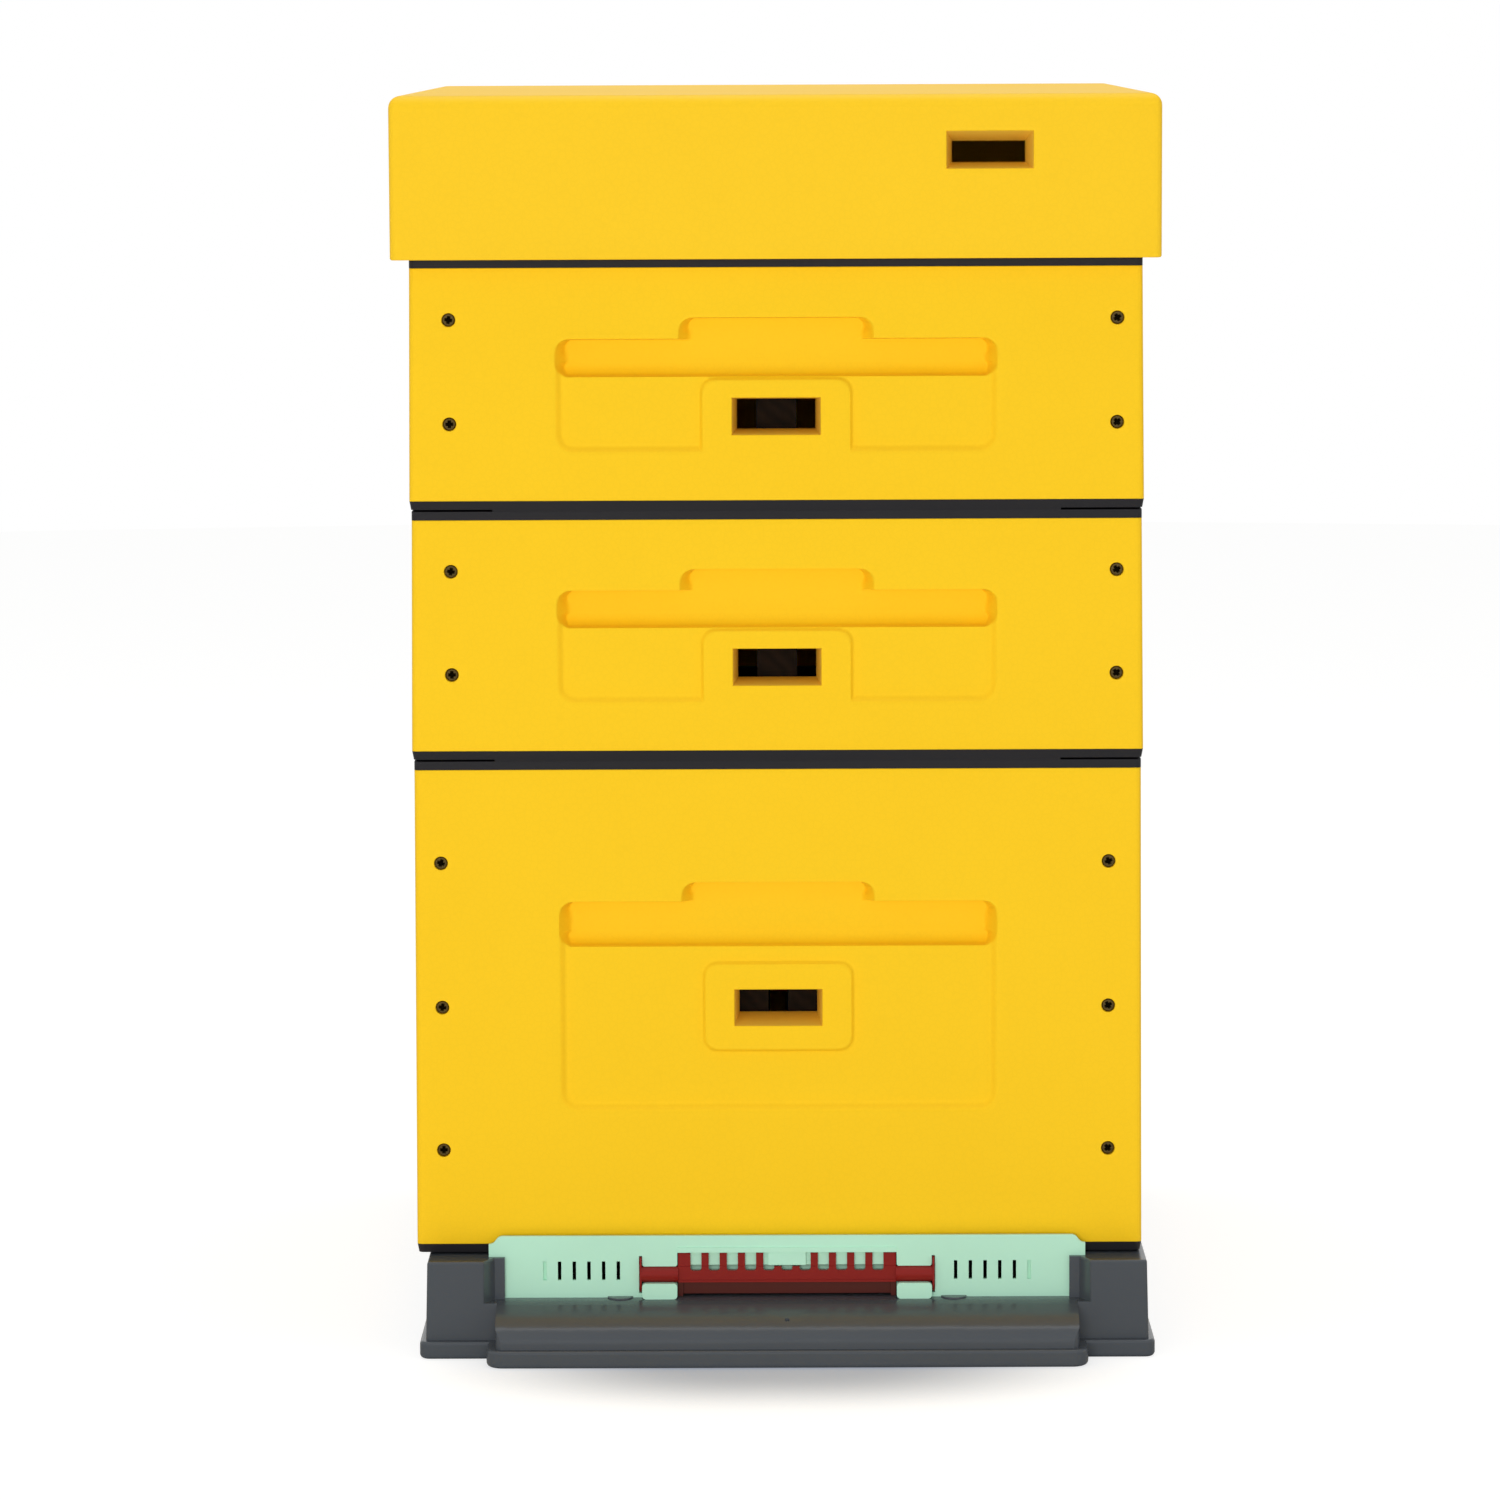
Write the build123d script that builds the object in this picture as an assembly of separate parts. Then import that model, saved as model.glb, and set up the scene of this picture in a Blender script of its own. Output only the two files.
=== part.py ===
from build123d import *
import os
from math import atan2, degrees

# A stacked beehive in polystyrene: floor, brood box, two supers, crown board and roof.
# Millimetres, +Z up, front towards -Y, origin on the ground below the middle of the bounding box.

# Heights of the stack
FLOOR_H = 60.0
BROOD_H = 310.0
SUPER_H = 155.0
ROOF_H = 100.0

# Box walls
WALL = 37.5
DRAFT = 1.25
CORNER_R = 3.0
TOP_RIM_H = 5.2
BOTTOM_RIM_H = 6.5
PRY_LENGTH = 50.0
PRY_DEPTH = 20.0
PRY_H = 1.3

# Hanging frames, round which the boxes are sized
FRAME_LENGTH = 435.0
LUG_LENGTH = 17.5
TOP_BAR_W = 25.0
TOP_BAR_H = 20.0
LUG_H = 10.0
END_BAR_T = 10.0
BOTTOM_BAR_W = 20.0
BOTTOM_BAR_H = 10.0
SPACER_W = 37.0
BROOD_FRAMES = 10
SUPER_FRAMES = 9
SIDE_GAP = 2.5
END_BEE_SPACE = 7.5
FRAME_HEADROOM = 3.0
FRAME_FOOTROOM = 7.0
SPACER_SHARE = 0.32
FOUNDATION_T = 2.0

# Rest ledge for the frame lugs
LUG_CLEARANCE = 3.0
LEDGE_T = 2.0

# Hand scoop, shallow field, boss and entrance slot on each panel
SCOOP_W = 272.0
SCOOP_DEPTH = 14.0
SCOOP_SIDE_SLOPE = 7.0
SCOOP_FLOOR_SLOPE = 2.0
SCOOP_LIP = 1.0
SCOOP_R = 9.0
CROWN_W = 120.0
FIELD_W = 271.0
FIELD_DEPTH = 3.0
FIELD_R = 11.0
EDGE_SLOPE = 1.2
BOSS_W = 91.0
BOSS_R = 8.0
SLOT_W = 54.5
SLOT_H = 22.8
SLOT_TAPER = 2.9
RELIEF_OVERRUN = 3.0

# Heights above each box's own bottom
SUPER_RELIEF = dict(field_low=36.5, boss_low=20.0, boss_high=80.5, slot_mid=58.2,
                    scoop_low=82.0, scoop_high=106.0, crown_high=119.0)
BROOD_RELIEF = dict(field_low=91.0, boss_low=129.0, boss_high=182.5, slot_mid=155.2,
                    scoop_low=193.0, scoop_high=222.0, crown_high=234.0)

# Corner screws: heights above the box's bottom, insets from the left and right edges
SUPER_SCREW_ROWS = (54.0, 118.0)
BROOD_SCREW_ROWS = (66.0, 156.0, 246.5)
SUPER_SCREW_INSETS = (24.0, 15.5)
BROOD_SCREW_INSETS = (16.0, 20.0)
SCREW_HEAD_D = 8.0
SCREW_HEAD_H = 2.4
SCREW_SINK = 2.6
SCREW_SHANK_D = 4.0
SCREW_LENGTH = 75.0
SCREW_CLEARANCE = 0.3
CROSS_W = 5.2
CROSS_T = 1.2
CROSS_DEPTH = 1.3

# Roof and crown board
ROOF_OVERHANG = 11.0
ROOF_WALL = 30.0
ROOF_TOP = 25.0
ROOF_EDGE_R = 7.5
VENT_X = 131.0
VENT_BELOW_TOP = 34.0
VENT_W = 53.0
VENT_H = 22.7
VENT_INNER_W = 45.0
VENT_INNER_H = 13.0
VENT_DROP = 1.7
CROWN_GAP = 2.0
CROWN_T = 8.0
FEED_D = 60.0
PLUG_CLEARANCE = 0.3
PLUG_CAP_D = 76.0
PLUG_CAP_T = 4.0
PLUG_KNOB_D = 24.0
PLUG_KNOB_H = 12.0

# Floor moulding
SKIN = 4.0
FLOOR_SHIFT = 4.7
FLANGE_H = 11.0
FLANGE_OUT = 3.4
FLANGE_EDGE_R = 2.0
FLANGE_FOOT_R = 3.0
FLOOR_DRAFT = 1.5
POST_R = 3.0
POST_EDGE_R = 1.5
POST_REACH = 27.0
FLANGE_REACH = 33.0
BOARD_REACH = 57.0
BOARD_FLANGE_REACH = 61.0
BOARD_SIDE = 4.5
BOARD_FLANGE_SIDE = 5.5
BOARD_R = 7.0
BOARD_DRAFT = 1.0
BOARD_FLAT = 16.0
BOARD_EASE = 14.0
BOARD_BEND_BACK = 10.0
BOARD_BEND_Z = 27.0
BOARD_SHOULDER_Z = 25.0
BOARD_FRONT_H = 14.0
BOARD_NOSE_SKIN = 5.0
ENTRANCE_H = 26.0
ENTRANCE_INSET = 11.6
LIP_W = 6.2
LIP_FRONT = 13.5
POST_FLARE = 10.1
MESH_T = 2.0
MESH_LEDGE = 7.5
MESH_CLEARANCE = 0.5
MESH_SLOT_W = 3.0
MESH_SLOT_L = 62.0
MESH_SLOT_PITCH_X = 7.0
MESH_SLOT_PITCH_Y = 68.0
MESH_COLUMNS = 48
MESH_ROWS = 6
RUNNER_Z = 14.0
RUNNER_W = 8.0
TRAY_SLOT_H = 9.0
TRAY_CLEARANCE = 2.0
TRAY_T = 2.0
TRAY_RIM_H = 7.0
TRAY_FRONT_GAP = 7.0
TRAY_END_INSET = 6.0
TRAY_PULL_W = 90.0
TRAY_PULL_REACH = 16.0
STOP_X = 104.0
STOP_R = 8.0
STOP_H = 0.9
STOP_EDGE_R = 0.6
GATE_MARK_D = 3.0
GATE_MARK_H = 3.0
GATE_MARK_REACH = 45.0
GATE_MARK_Z = 26.5

# Entrance reducer
GROOVE_DEPTH = 10.0
GROOVE_CLEARANCE = 0.3
REDUCER_SHOULDER_W = 9.0
REDUCER_SHOULDER_UP = 8.0
REDUCER_STEP = 5.0
REDUCER_BACK = 6.5
REDUCER_T = 3.0
VENT_SLOT_W = 2.2
VENT_SLOT_H = 11.8
VENT_SLOT_PITCH = 9.16
VENT_SLOT_GAP = 12.9
VENT_SLOT_UP = 17.0
VENT_SLOTS = 5
BLIND_DEPTH = 2.2
HOUSING_BACK = 1.7
HOUSING_INSET = 4.9
HOUSING_OVER = 3.6
HOUSING_DROP = 4.5
RIB_H = 3.2
RIB_T = 0.8
TAB_W = 21.9
TAB_FRONT = 16.0
TAB_R = 2.4
SLIT_W = 2.0
SLIT_CLEARANCE = 0.5
CENTRE_TAB_HALF = 11.7
CENTRE_TAB_GAP = 0.8

# Mouse guard, turning on its two journals
GUARD_AXIS_REACH = 8.0
TOOTH_GAP = 1.1
GUARD_T = 2.4
END_TOOTH_W = 7.7
GUARD_ROOT = 2.4
GUARD_BELOW = 5.0
TOOTH_TOP = 13.4
SHORT_TOOTH_TOP = 5.0
TOOTH_PITCH = 11.35
TOOTH_W = 4.5
TOOTH_ROOT_R = 1.5
COMB_GAPS = 11
JOURNAL_R = 5.0
JOURNAL_CLEARANCE = 0.3
TAB_OPENING = 4.6
CHEEK_HALF_H = 11.2
CHEEK_T = 1.2
SWEEP_CLEARANCE = 0.36
WINDOW_CLEARANCE = 0.5
GUARD_BEAM_STEP = 0.8
GUARD_GROOVE_W = 0.8
GUARD_GROOVE_DEPTH = 0.5
GUARD_GROOVE_DROP = 3.4

# Entrance shutter, a strip on two end posts that closes the way in below the guard
SHUTTER_BACK = 2.0
SHUTTER_T = 1.4
SHUTTER_POST_W = 3.1
SHUTTER_POST_T = 4.2
SHUTTER_FOOT_GAP = 1.0
SHUTTER_CLEARANCE = 0.4

# Boxes, sized round the frames
BROOD_PITCH = SPACER_W
SUPER_PITCH = BROOD_FRAMES * SPACER_W / SUPER_FRAMES
INNER_HALF_W = BROOD_FRAMES * SPACER_W / 2 + SIDE_GAP
INNER_HALF_L = FRAME_LENGTH / 2 + END_BEE_SPACE
BOX_W = 2 * (INNER_HALF_W + WALL)
BOX_L = 2 * (INNER_HALF_L + WALL)
BOX_Y = (BOARD_FLANGE_REACH - ROOF_OVERHANG) / 2
BOX_FRONT_Y = BOX_Y - BOX_L / 2
BOX_REAR_Y = BOX_Y + BOX_L / 2
BROOD_Z = FLOOR_H
LOWER_SUPER_Z = BROOD_Z + BROOD_H
UPPER_SUPER_Z = LOWER_SUPER_Z + SUPER_H
STACK_Z = UPPER_SUPER_Z + SUPER_H
REBATE_W = LUG_LENGTH - END_BEE_SPACE + LUG_CLEARANCE + LEDGE_T
REBATE_DEPTH = FRAME_HEADROOM + LUG_H + LEDGE_T

# Entrance, sized between the inner side walls and below the brood box
ENTRANCE_Z = FLOOR_H - ENTRANCE_H
ENTRANCE_HALF = INNER_HALF_W - ENTRANCE_INSET
LIP_END_X = ENTRANCE_HALF + LIP_W
POST_IN_X = LIP_END_X + POST_FLARE
BOARD_W = 2 * (ENTRANCE_HALF + BOARD_SIDE)
BOARD_FLANGE_W = BOARD_W + 2 * BOARD_FLANGE_SIDE
REDUCER_HALF = ENTRANCE_HALF + GROOVE_DEPTH
REDUCER_TOP_HALF = REDUCER_HALF - REDUCER_SHOULDER_W
REDUCER_SHOULDER_Z = FLOOR_H + REDUCER_SHOULDER_UP
REDUCER_TOP_Z = REDUCER_SHOULDER_Z + REDUCER_STEP
REDUCER_FRONT = REDUCER_BACK + REDUCER_T

# Mouse guard and the window it turns in
COMB_GAP_W = TOOTH_PITCH - TOOTH_W
GUARD_HALF = ((COMB_GAPS - 1) * TOOTH_PITCH + COMB_GAP_W) / 2 + END_TOOTH_W
GUARD_AXIS_Z = ENTRANCE_Z + TOOTH_GAP + TOOTH_TOP
WINDOW_TOP_Z = GUARD_AXIS_Z + TOOTH_TOP + WINDOW_CLEARANCE
HOUSING_HALF = GUARD_HALF - HOUSING_INSET
TAB_IN_X = GUARD_HALF + WINDOW_CLEARANCE
SLIT_IN_X = TAB_IN_X + TAB_W
SLIT_LOW_Z = GUARD_AXIS_Z - CHEEK_HALF_H - SLIT_CLEARANCE
SLIT_HIGH_Z = GUARD_AXIS_Z + CHEEK_HALF_H + SLIT_CLEARANCE
VENT_SLOT_FIRST_X = SLIT_IN_X + SLIT_W + VENT_SLOT_GAP
FRONT_PLANE = Plane(origin=(0, BOX_FRONT_Y, 0), x_dir=(1, 0, 0), z_dir=(0, -1, 0))


def reach(distance):
    """Y of a point that lies the given distance in front of the boxes' front face."""
    return BOX_FRONT_Y - distance


def block(x0, x1, y0, y1, z0, z1):
    """Box between two opposite corners."""
    middle = Pos((x0 + x1) / 2, (y0 + y1) / 2, (z0 + z1) / 2)
    return middle * Box(x1 - x0, y1 - y0, z1 - z0)


def rounded_rect(plane, width, height, radius, x=0.0, y=0.0):
    """Rounded rectangle on a plane, its middle at x, y of that plane."""
    return plane * Pos(x, y) * RectangleRounded(width, height, radius)


def leaning_block(z_low, z_high, low_size, inset, radius, y=BOX_Y):
    """Upright block with a rounded plan whose four sides lean in by the inset over its height."""
    plan = rounded_rect(Plane.XY.offset(z_low), *low_size, radius, 0, y)
    height = z_high - z_low
    return extrude(plan, height, taper=degrees(atan2(inset, height)))


def round_top(shape, radius):
    """The shape with the edges of its topmost face rounded."""
    return fillet(shape.faces().sort_by(Axis.Z)[-1].edges(), radius)


def front_slab(outline, back, front):
    """Plate drawn in x and z, lying between two distances in front of the boxes."""
    return extrude(FRONT_PLANE.offset(back) * outline, front - back)


def along_x(radius, x0, x1):
    """Round bar on the mouse guard's axis."""
    place = Pos((x0 + x1) / 2, reach(GUARD_AXIS_REACH), GUARD_AXIS_Z)
    return place * Rot(0, 90, 0) * Cylinder(radius, x1 - x0)


def save(shape, node):
    export_step(shape, f"parts/{node}.step")


def save_low(shape, node):
    """Save a piece of the floor, on which the boxes were set down a little to one side."""
    save(Pos(FLOOR_SHIFT, 0, 0) * shape, node)


# Relief of a panel, cut in the panel's own plane: x along the panel, y up, z outwards
def sunk_shape(plane, width, low, high, depth, side, floor, top, radius):
    """Pocket whose side, floor and top walls lean inwards by the given amounts."""
    mouth = rounded_rect(plane, width, high - low, radius, 0, (low + high) / 2)
    seat_radius = max(radius - side, 1.5)
    seat_low = low + floor
    seat_high = high - top
    seat = rounded_rect(plane.offset(-depth), width - 2 * side, seat_high - seat_low,
                        seat_radius, 0, (seat_low + seat_high) / 2)
    return loft([mouth, seat], ruled=True) + extrude(mouth, RELIEF_OVERRUN)


def relief(plane, levels, with_slot):
    """Everything that is cut from one panel's outer face."""
    scoop_low = levels["scoop_low"]
    scoop_high = levels["scoop_high"]
    scoop = sunk_shape(plane, SCOOP_W, scoop_low, scoop_high, SCOOP_DEPTH,
                       SCOOP_SIDE_SLOPE, SCOOP_FLOOR_SLOPE, SCOOP_LIP, SCOOP_R)
    crown = sunk_shape(plane, CROWN_W, scoop_low, levels["crown_high"], SCOOP_DEPTH,
                       SCOOP_SIDE_SLOPE, SCOOP_FLOOR_SLOPE, SCOOP_LIP, SCOOP_R)
    field_high = (scoop_low + scoop_high) / 2
    field = sunk_shape(plane, FIELD_W, levels["field_low"], field_high, FIELD_DEPTH,
                       EDGE_SLOPE, EDGE_SLOPE, 0, FIELD_R)
    boss_h = levels["boss_high"] - levels["boss_low"]
    boss_mid = (levels["boss_high"] + levels["boss_low"]) / 2
    boss_foot = rounded_rect(plane.offset(-FIELD_DEPTH), BOSS_W + 2 * EDGE_SLOPE,
                             boss_h + 2 * EDGE_SLOPE, BOSS_R + EDGE_SLOPE, 0, boss_mid)
    boss_face = rounded_rect(plane, BOSS_W, boss_h, BOSS_R, 0, boss_mid)
    boss = loft([boss_foot, boss_face], ruled=True)
    cutter = field - boss + scoop + crown
    if with_slot:
        cutter += entrance_slot(plane, levels["slot_mid"])
    return cutter


def entrance_slot(plane, mid):
    """Flight hole through the wall, narrowing inwards on all four sides."""
    mouth = plane * Pos(0, mid) * Rectangle(SLOT_W, SLOT_H)
    throat = plane.offset(-WALL) * Pos(0, mid) * Rectangle(SLOT_W - 2 * SLOT_TAPER, SLOT_H - 2 * SLOT_TAPER)
    return loft([mouth, throat], ruled=True) + extrude(mouth, RELIEF_OVERRUN)


# Corner screws of a box, driven through the front and rear panels into the side panels
def screw_places(z_box, rows, insets):
    """Planes at the screw heads, looking outwards, as (side, plane) pairs."""
    places = []
    for side, y_face in ((-1, BOX_FRONT_Y), (1, BOX_REAR_Y)):
        for row in rows:
            for x in (insets[0] - BOX_W / 2, BOX_W / 2 - insets[1]):
                places.append(Plane(origin=(x, y_face, z_box + row), x_dir=(1, 0, 0), z_dir=(0, side, 0)))
    return places


def screw(plane):
    """Pan-head screw with a cross recess, its head sunk below the panel's face."""
    seat = plane.offset(-SCREW_SINK)
    head = extrude(seat * Circle(SCREW_HEAD_D / 2), SCREW_HEAD_H)
    shank = extrude(seat * Circle(SCREW_SHANK_D / 2), -SCREW_LENGTH)
    top = plane.offset(SCREW_HEAD_H - SCREW_SINK)
    cross = top * (Rectangle(CROSS_W, CROSS_T) + Rectangle(CROSS_T, CROSS_W))
    return head + shank - extrude(cross, -CROSS_DEPTH)


def screw_hole(plane):
    """Clearance for one screw: a flat-bottomed seat and a bore."""
    seat = plane.offset(-SCREW_SINK)
    sink = extrude(seat * Circle(SCREW_HEAD_D / 2 + SCREW_CLEARANCE), SCREW_SINK + RELIEF_OVERRUN)
    bore = extrude(seat * Circle(SCREW_SHANK_D / 2 + SCREW_CLEARANCE), -SCREW_LENGTH - SCREW_CLEARANCE)
    return sink + bore


def panel_planes(z_box):
    """Outer face of each wall as a plane with x along the wall and y up."""
    return dict(
        front=Plane(origin=(0, BOX_FRONT_Y, z_box), x_dir=(1, 0, 0), z_dir=(0, -1, 0)),
        rear=Plane(origin=(0, BOX_REAR_Y, z_box), x_dir=(-1, 0, 0), z_dir=(0, 1, 0)),
        left=Plane(origin=(-BOX_W / 2, BOX_Y, z_box), x_dir=(0, -1, 0), z_dir=(-1, 0, 0)),
        right=Plane(origin=(BOX_W / 2, BOX_Y, z_box), x_dir=(0, 1, 0), z_dir=(1, 0, 0)),
    )


def panel_regions(z_low, z_high):
    """Share of the wall ring that each panel takes: the end walls run the full width."""
    out = BOX_W / 2 + 2 * DRAFT
    front = BOX_FRONT_Y - 2 * DRAFT
    rear = BOX_REAR_Y + 2 * DRAFT
    inner_front = BOX_Y - INNER_HALF_L
    inner_rear = BOX_Y + INNER_HALF_L
    return dict(
        front=block(-out, out, front, inner_front, z_low, z_high),
        rear=block(-out, out, inner_rear, rear, z_low, z_high),
        left=block(-out, -INNER_HALF_W, inner_front, inner_rear, z_low, z_high),
        right=block(INNER_HALF_W, out, inner_front, inner_rear, z_low, z_high),
    )


def end_wall_strip(side, near, far, z_low, z_high):
    """Bar across a front or rear wall, between two distances from the hive's middle."""
    ys = sorted((BOX_Y + side * near, BOX_Y + side * far))
    return block(-INNER_HALF_W, INNER_HALF_W, *ys, z_low, z_high)


def top_rim(z_top):
    """Ring on the wall tops with a stepped ledge at front and rear for the frame lugs."""
    z_low = z_top - TOP_RIM_H
    lug_half = INNER_HALF_L + REBATE_W - LEDGE_T
    ring = extrude(rounded_rect(Plane.XY.offset(z_low), BOX_W, BOX_L, CORNER_R, 0, BOX_Y), TOP_RIM_H)
    ring -= block(-INNER_HALF_W, INNER_HALF_W, BOX_Y - lug_half, BOX_Y + lug_half, z_low, z_top)
    z_rest = z_top - REBATE_DEPTH
    for side in (-1, 1):
        ring += end_wall_strip(side, lug_half, lug_half + LEDGE_T, z_rest, z_low)
        ring += end_wall_strip(side, INNER_HALF_L, lug_half + LEDGE_T, z_rest, z_rest + LEDGE_T)
    return ring


def bottom_rim(z_box):
    """Ring under the walls, leaning in to the box below, with a pry slot at each corner."""
    z_high = z_box + BOTTOM_RIM_H
    ring = leaning_block(z_box, z_high, (BOX_W, BOX_L), -DRAFT, CORNER_R)
    ring -= block(-INNER_HALF_W, INNER_HALF_W, BOX_Y - INNER_HALF_L, BOX_Y + INNER_HALF_L, z_box, z_high)
    half_l = BOX_L / 2
    for sx in (-1, 1):
        for sy in (-1, 1):
            xs = sorted((sx * (BOX_W / 2 - PRY_LENGTH), sx * (BOX_W / 2 + DRAFT)))
            ys = sorted((BOX_Y + sy * (half_l - PRY_DEPTH), BOX_Y + sy * (half_l + DRAFT)))
            ring -= block(*xs, *ys, z_box, z_box + PRY_H)
    return ring


def hive_box(name, z_box, height, levels, rows, insets):
    """Four panels, two rims and the screws of one box."""
    z_low = z_box + BOTTOM_RIM_H
    z_top = z_box + height
    z_high = z_top - TOP_RIM_H
    body = leaning_block(z_low, z_high, (BOX_W + 2 * DRAFT, BOX_L + 2 * DRAFT), DRAFT, CORNER_R + DRAFT)
    screws = screw_places(z_box, rows, insets)
    holes = [screw_hole(place) for place in screws]
    planes = panel_planes(z_box)
    for wall, region in panel_regions(z_low, z_high).items():
        panel = body & region
        panel -= relief(planes[wall], levels, wall == "front")
        for side in (-1, 1):
            panel -= end_wall_strip(side, INNER_HALF_L, INNER_HALF_L + REBATE_W, z_top - REBATE_DEPTH, z_high)
        for hole in holes:
            panel -= hole
        save(panel, f"{name}_{wall}_panel")
    save(top_rim(z_top), f"{name}_top_rim")
    save(bottom_rim(z_box), f"{name}_bottom_rim")
    save(Compound(children=[screw(place) for place in screws]), f"{name}_screws")


# Frames that hang in a box, each of one top bar, two end bars, a bottom bar and a wax sheet
def top_bar(x, z_top):
    """Bar across the frame's top whose thinner ends are the lugs it hangs by."""
    half = FRAME_LENGTH / 2
    lug = half + LUG_LENGTH
    bar = TOP_BAR_W / 2
    upper = block(x - bar, x + bar, BOX_Y - lug, BOX_Y + lug, z_top - LUG_H, z_top)
    return upper + block(x - bar, x + bar, BOX_Y - half, BOX_Y + half, z_top - TOP_BAR_H, z_top - LUG_H)


def end_bar(x, side, z_low, z_high):
    """Upright at one end of the frame, wider at the top where it spaces the frames."""
    half = FRAME_LENGTH / 2
    bar = TOP_BAR_W / 2
    shoulder = SPACER_W / 2
    z_shoulder = z_high - SPACER_SHARE * (z_high - z_low)
    ys = sorted((BOX_Y + side * (half - END_BAR_T), BOX_Y + side * half))
    upright = block(x - bar, x + bar, *ys, z_low, z_high)
    return upright + block(x - shoulder, x + shoulder, *ys, z_shoulder, z_high)


def frame_set(name, z_box, height, count, pitch):
    """All frames of one box side by side, their like pieces grouped together."""
    z_low = z_box + FRAME_FOOTROOM
    z_sheet = z_low + BOTTOM_BAR_H
    z_top = z_box + height - FRAME_HEADROOM
    z_bar = z_top - TOP_BAR_H
    half = FRAME_LENGTH / 2 - END_BAR_T
    ys = (BOX_Y - half, BOX_Y + half)
    foot = BOTTOM_BAR_W / 2
    wax = FOUNDATION_T / 2
    places = [(number - (count - 1) / 2) * pitch for number in range(count)]
    top_bars = [top_bar(x, z_top) for x in places]
    end_bars = [end_bar(x, side, z_low, z_bar) for x in places for side in (-1, 1)]
    bottom_bars = [block(x - foot, x + foot, *ys, z_low, z_sheet) for x in places]
    sheets = [block(x - wax, x + wax, *ys, z_sheet, z_bar) for x in places]
    save(Compound(children=top_bars), f"{name}_frame_top_bars")
    save(Compound(children=end_bars), f"{name}_frame_end_bars")
    save(Compound(children=bottom_bars), f"{name}_frame_bottom_bars")
    save(Compound(children=sheets), f"{name}_foundation")


# Roof, crown board and feed plug
def roof():
    """Deep cap with a rounded top edge, an open underside and a tapering vent in its front wall."""
    width = BOX_W + 2 * ROOF_OVERHANG
    length = BOX_L + 2 * ROOF_OVERHANG
    z_top = STACK_Z + ROOF_H
    cap = extrude(rounded_rect(Plane.XY.offset(STACK_Z), width, length, CORNER_R, 0, BOX_Y), ROOF_H)
    cap = round_top(cap, ROOF_EDGE_R)
    half_w = width / 2 - ROOF_WALL
    half_l = length / 2 - ROOF_WALL
    cap -= block(-half_w, half_w, BOX_Y - half_l, BOX_Y + half_l, STACK_Z, z_top - ROOF_TOP)
    face = FRONT_PLANE.offset(ROOF_OVERHANG)
    mouth = face * Pos(VENT_X, z_top - VENT_BELOW_TOP) * Rectangle(VENT_W, VENT_H)
    throat_z = z_top - VENT_BELOW_TOP - VENT_DROP
    throat = face.offset(-ROOF_WALL) * Pos(VENT_X, throat_z) * Rectangle(VENT_INNER_W, VENT_INNER_H)
    return cap - loft([mouth, throat], ruled=True)


def crown_board():
    """Flat board inside the roof's rim with a round feed hole in the middle."""
    half_w = BOX_W / 2 + ROOF_OVERHANG - ROOF_WALL - CROWN_GAP
    half_l = BOX_L / 2 + ROOF_OVERHANG - ROOF_WALL - CROWN_GAP
    board = block(-half_w, half_w, BOX_Y - half_l, BOX_Y + half_l, STACK_Z, STACK_Z + CROWN_T)
    return board - Pos(0, BOX_Y, STACK_Z + CROWN_T / 2) * Cylinder(FEED_D / 2, CROWN_T)


def feed_plug():
    """Round stopper with a cap that rests on the crown board and a knob to lift it by."""
    z_cap = STACK_Z + CROWN_T
    stem = Pos(0, BOX_Y, z_cap - CROWN_T / 2) * Cylinder(FEED_D / 2 - PLUG_CLEARANCE, CROWN_T)
    cap = Pos(0, BOX_Y, z_cap + PLUG_CAP_T / 2) * Cylinder(PLUG_CAP_D / 2, PLUG_CAP_T)
    knob = Pos(0, BOX_Y, z_cap + PLUG_CAP_T + PLUG_KNOB_H / 2) * Cylinder(PLUG_KNOB_D / 2, PLUG_KNOB_H)
    return stem + cap + knob


# Floor moulding
def floor_outside():
    """Drafted body with corner posts, a foot flange all round and the landing board."""
    back = BOX_REAR_Y
    body_l = back - reach(POST_REACH)
    body_y = (back + reach(POST_REACH)) / 2
    body = leaning_block(0, FLOOR_H, (BOX_W, body_l), FLOOR_DRAFT, POST_R, body_y)
    body = round_top(body, POST_EDGE_R) - above_board()
    flange_back = back + FLANGE_OUT
    flange_l = flange_back - reach(FLANGE_REACH)
    flange_w = BOX_W + 2 * FLANGE_OUT
    flange_y = (flange_back + reach(FLANGE_REACH)) / 2
    flange = rounded_rect(Plane.XY, flange_w, flange_l, POST_R + FLANGE_OUT, 0, flange_y)
    board_back = BOX_FRONT_Y
    apron_l = board_back - reach(BOARD_FLANGE_REACH)
    apron_y = (board_back + reach(BOARD_FLANGE_REACH)) / 2
    apron = rounded_rect(Plane.XY, BOARD_FLANGE_W, apron_l, BOARD_R + FLANGE_OUT, 0, apron_y)
    return body + foot_bead(flange) + foot_bead(apron) + landing_board()


def foot_bead(plan):
    """A flange of this plan with its upper and lower edges rounded."""
    flange = round_top(extrude(plan, FLANGE_H), FLANGE_EDGE_R)
    return fillet(flange.faces().sort_by(Axis.Z)[0].edges(), FLANGE_FOOT_R)


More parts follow.
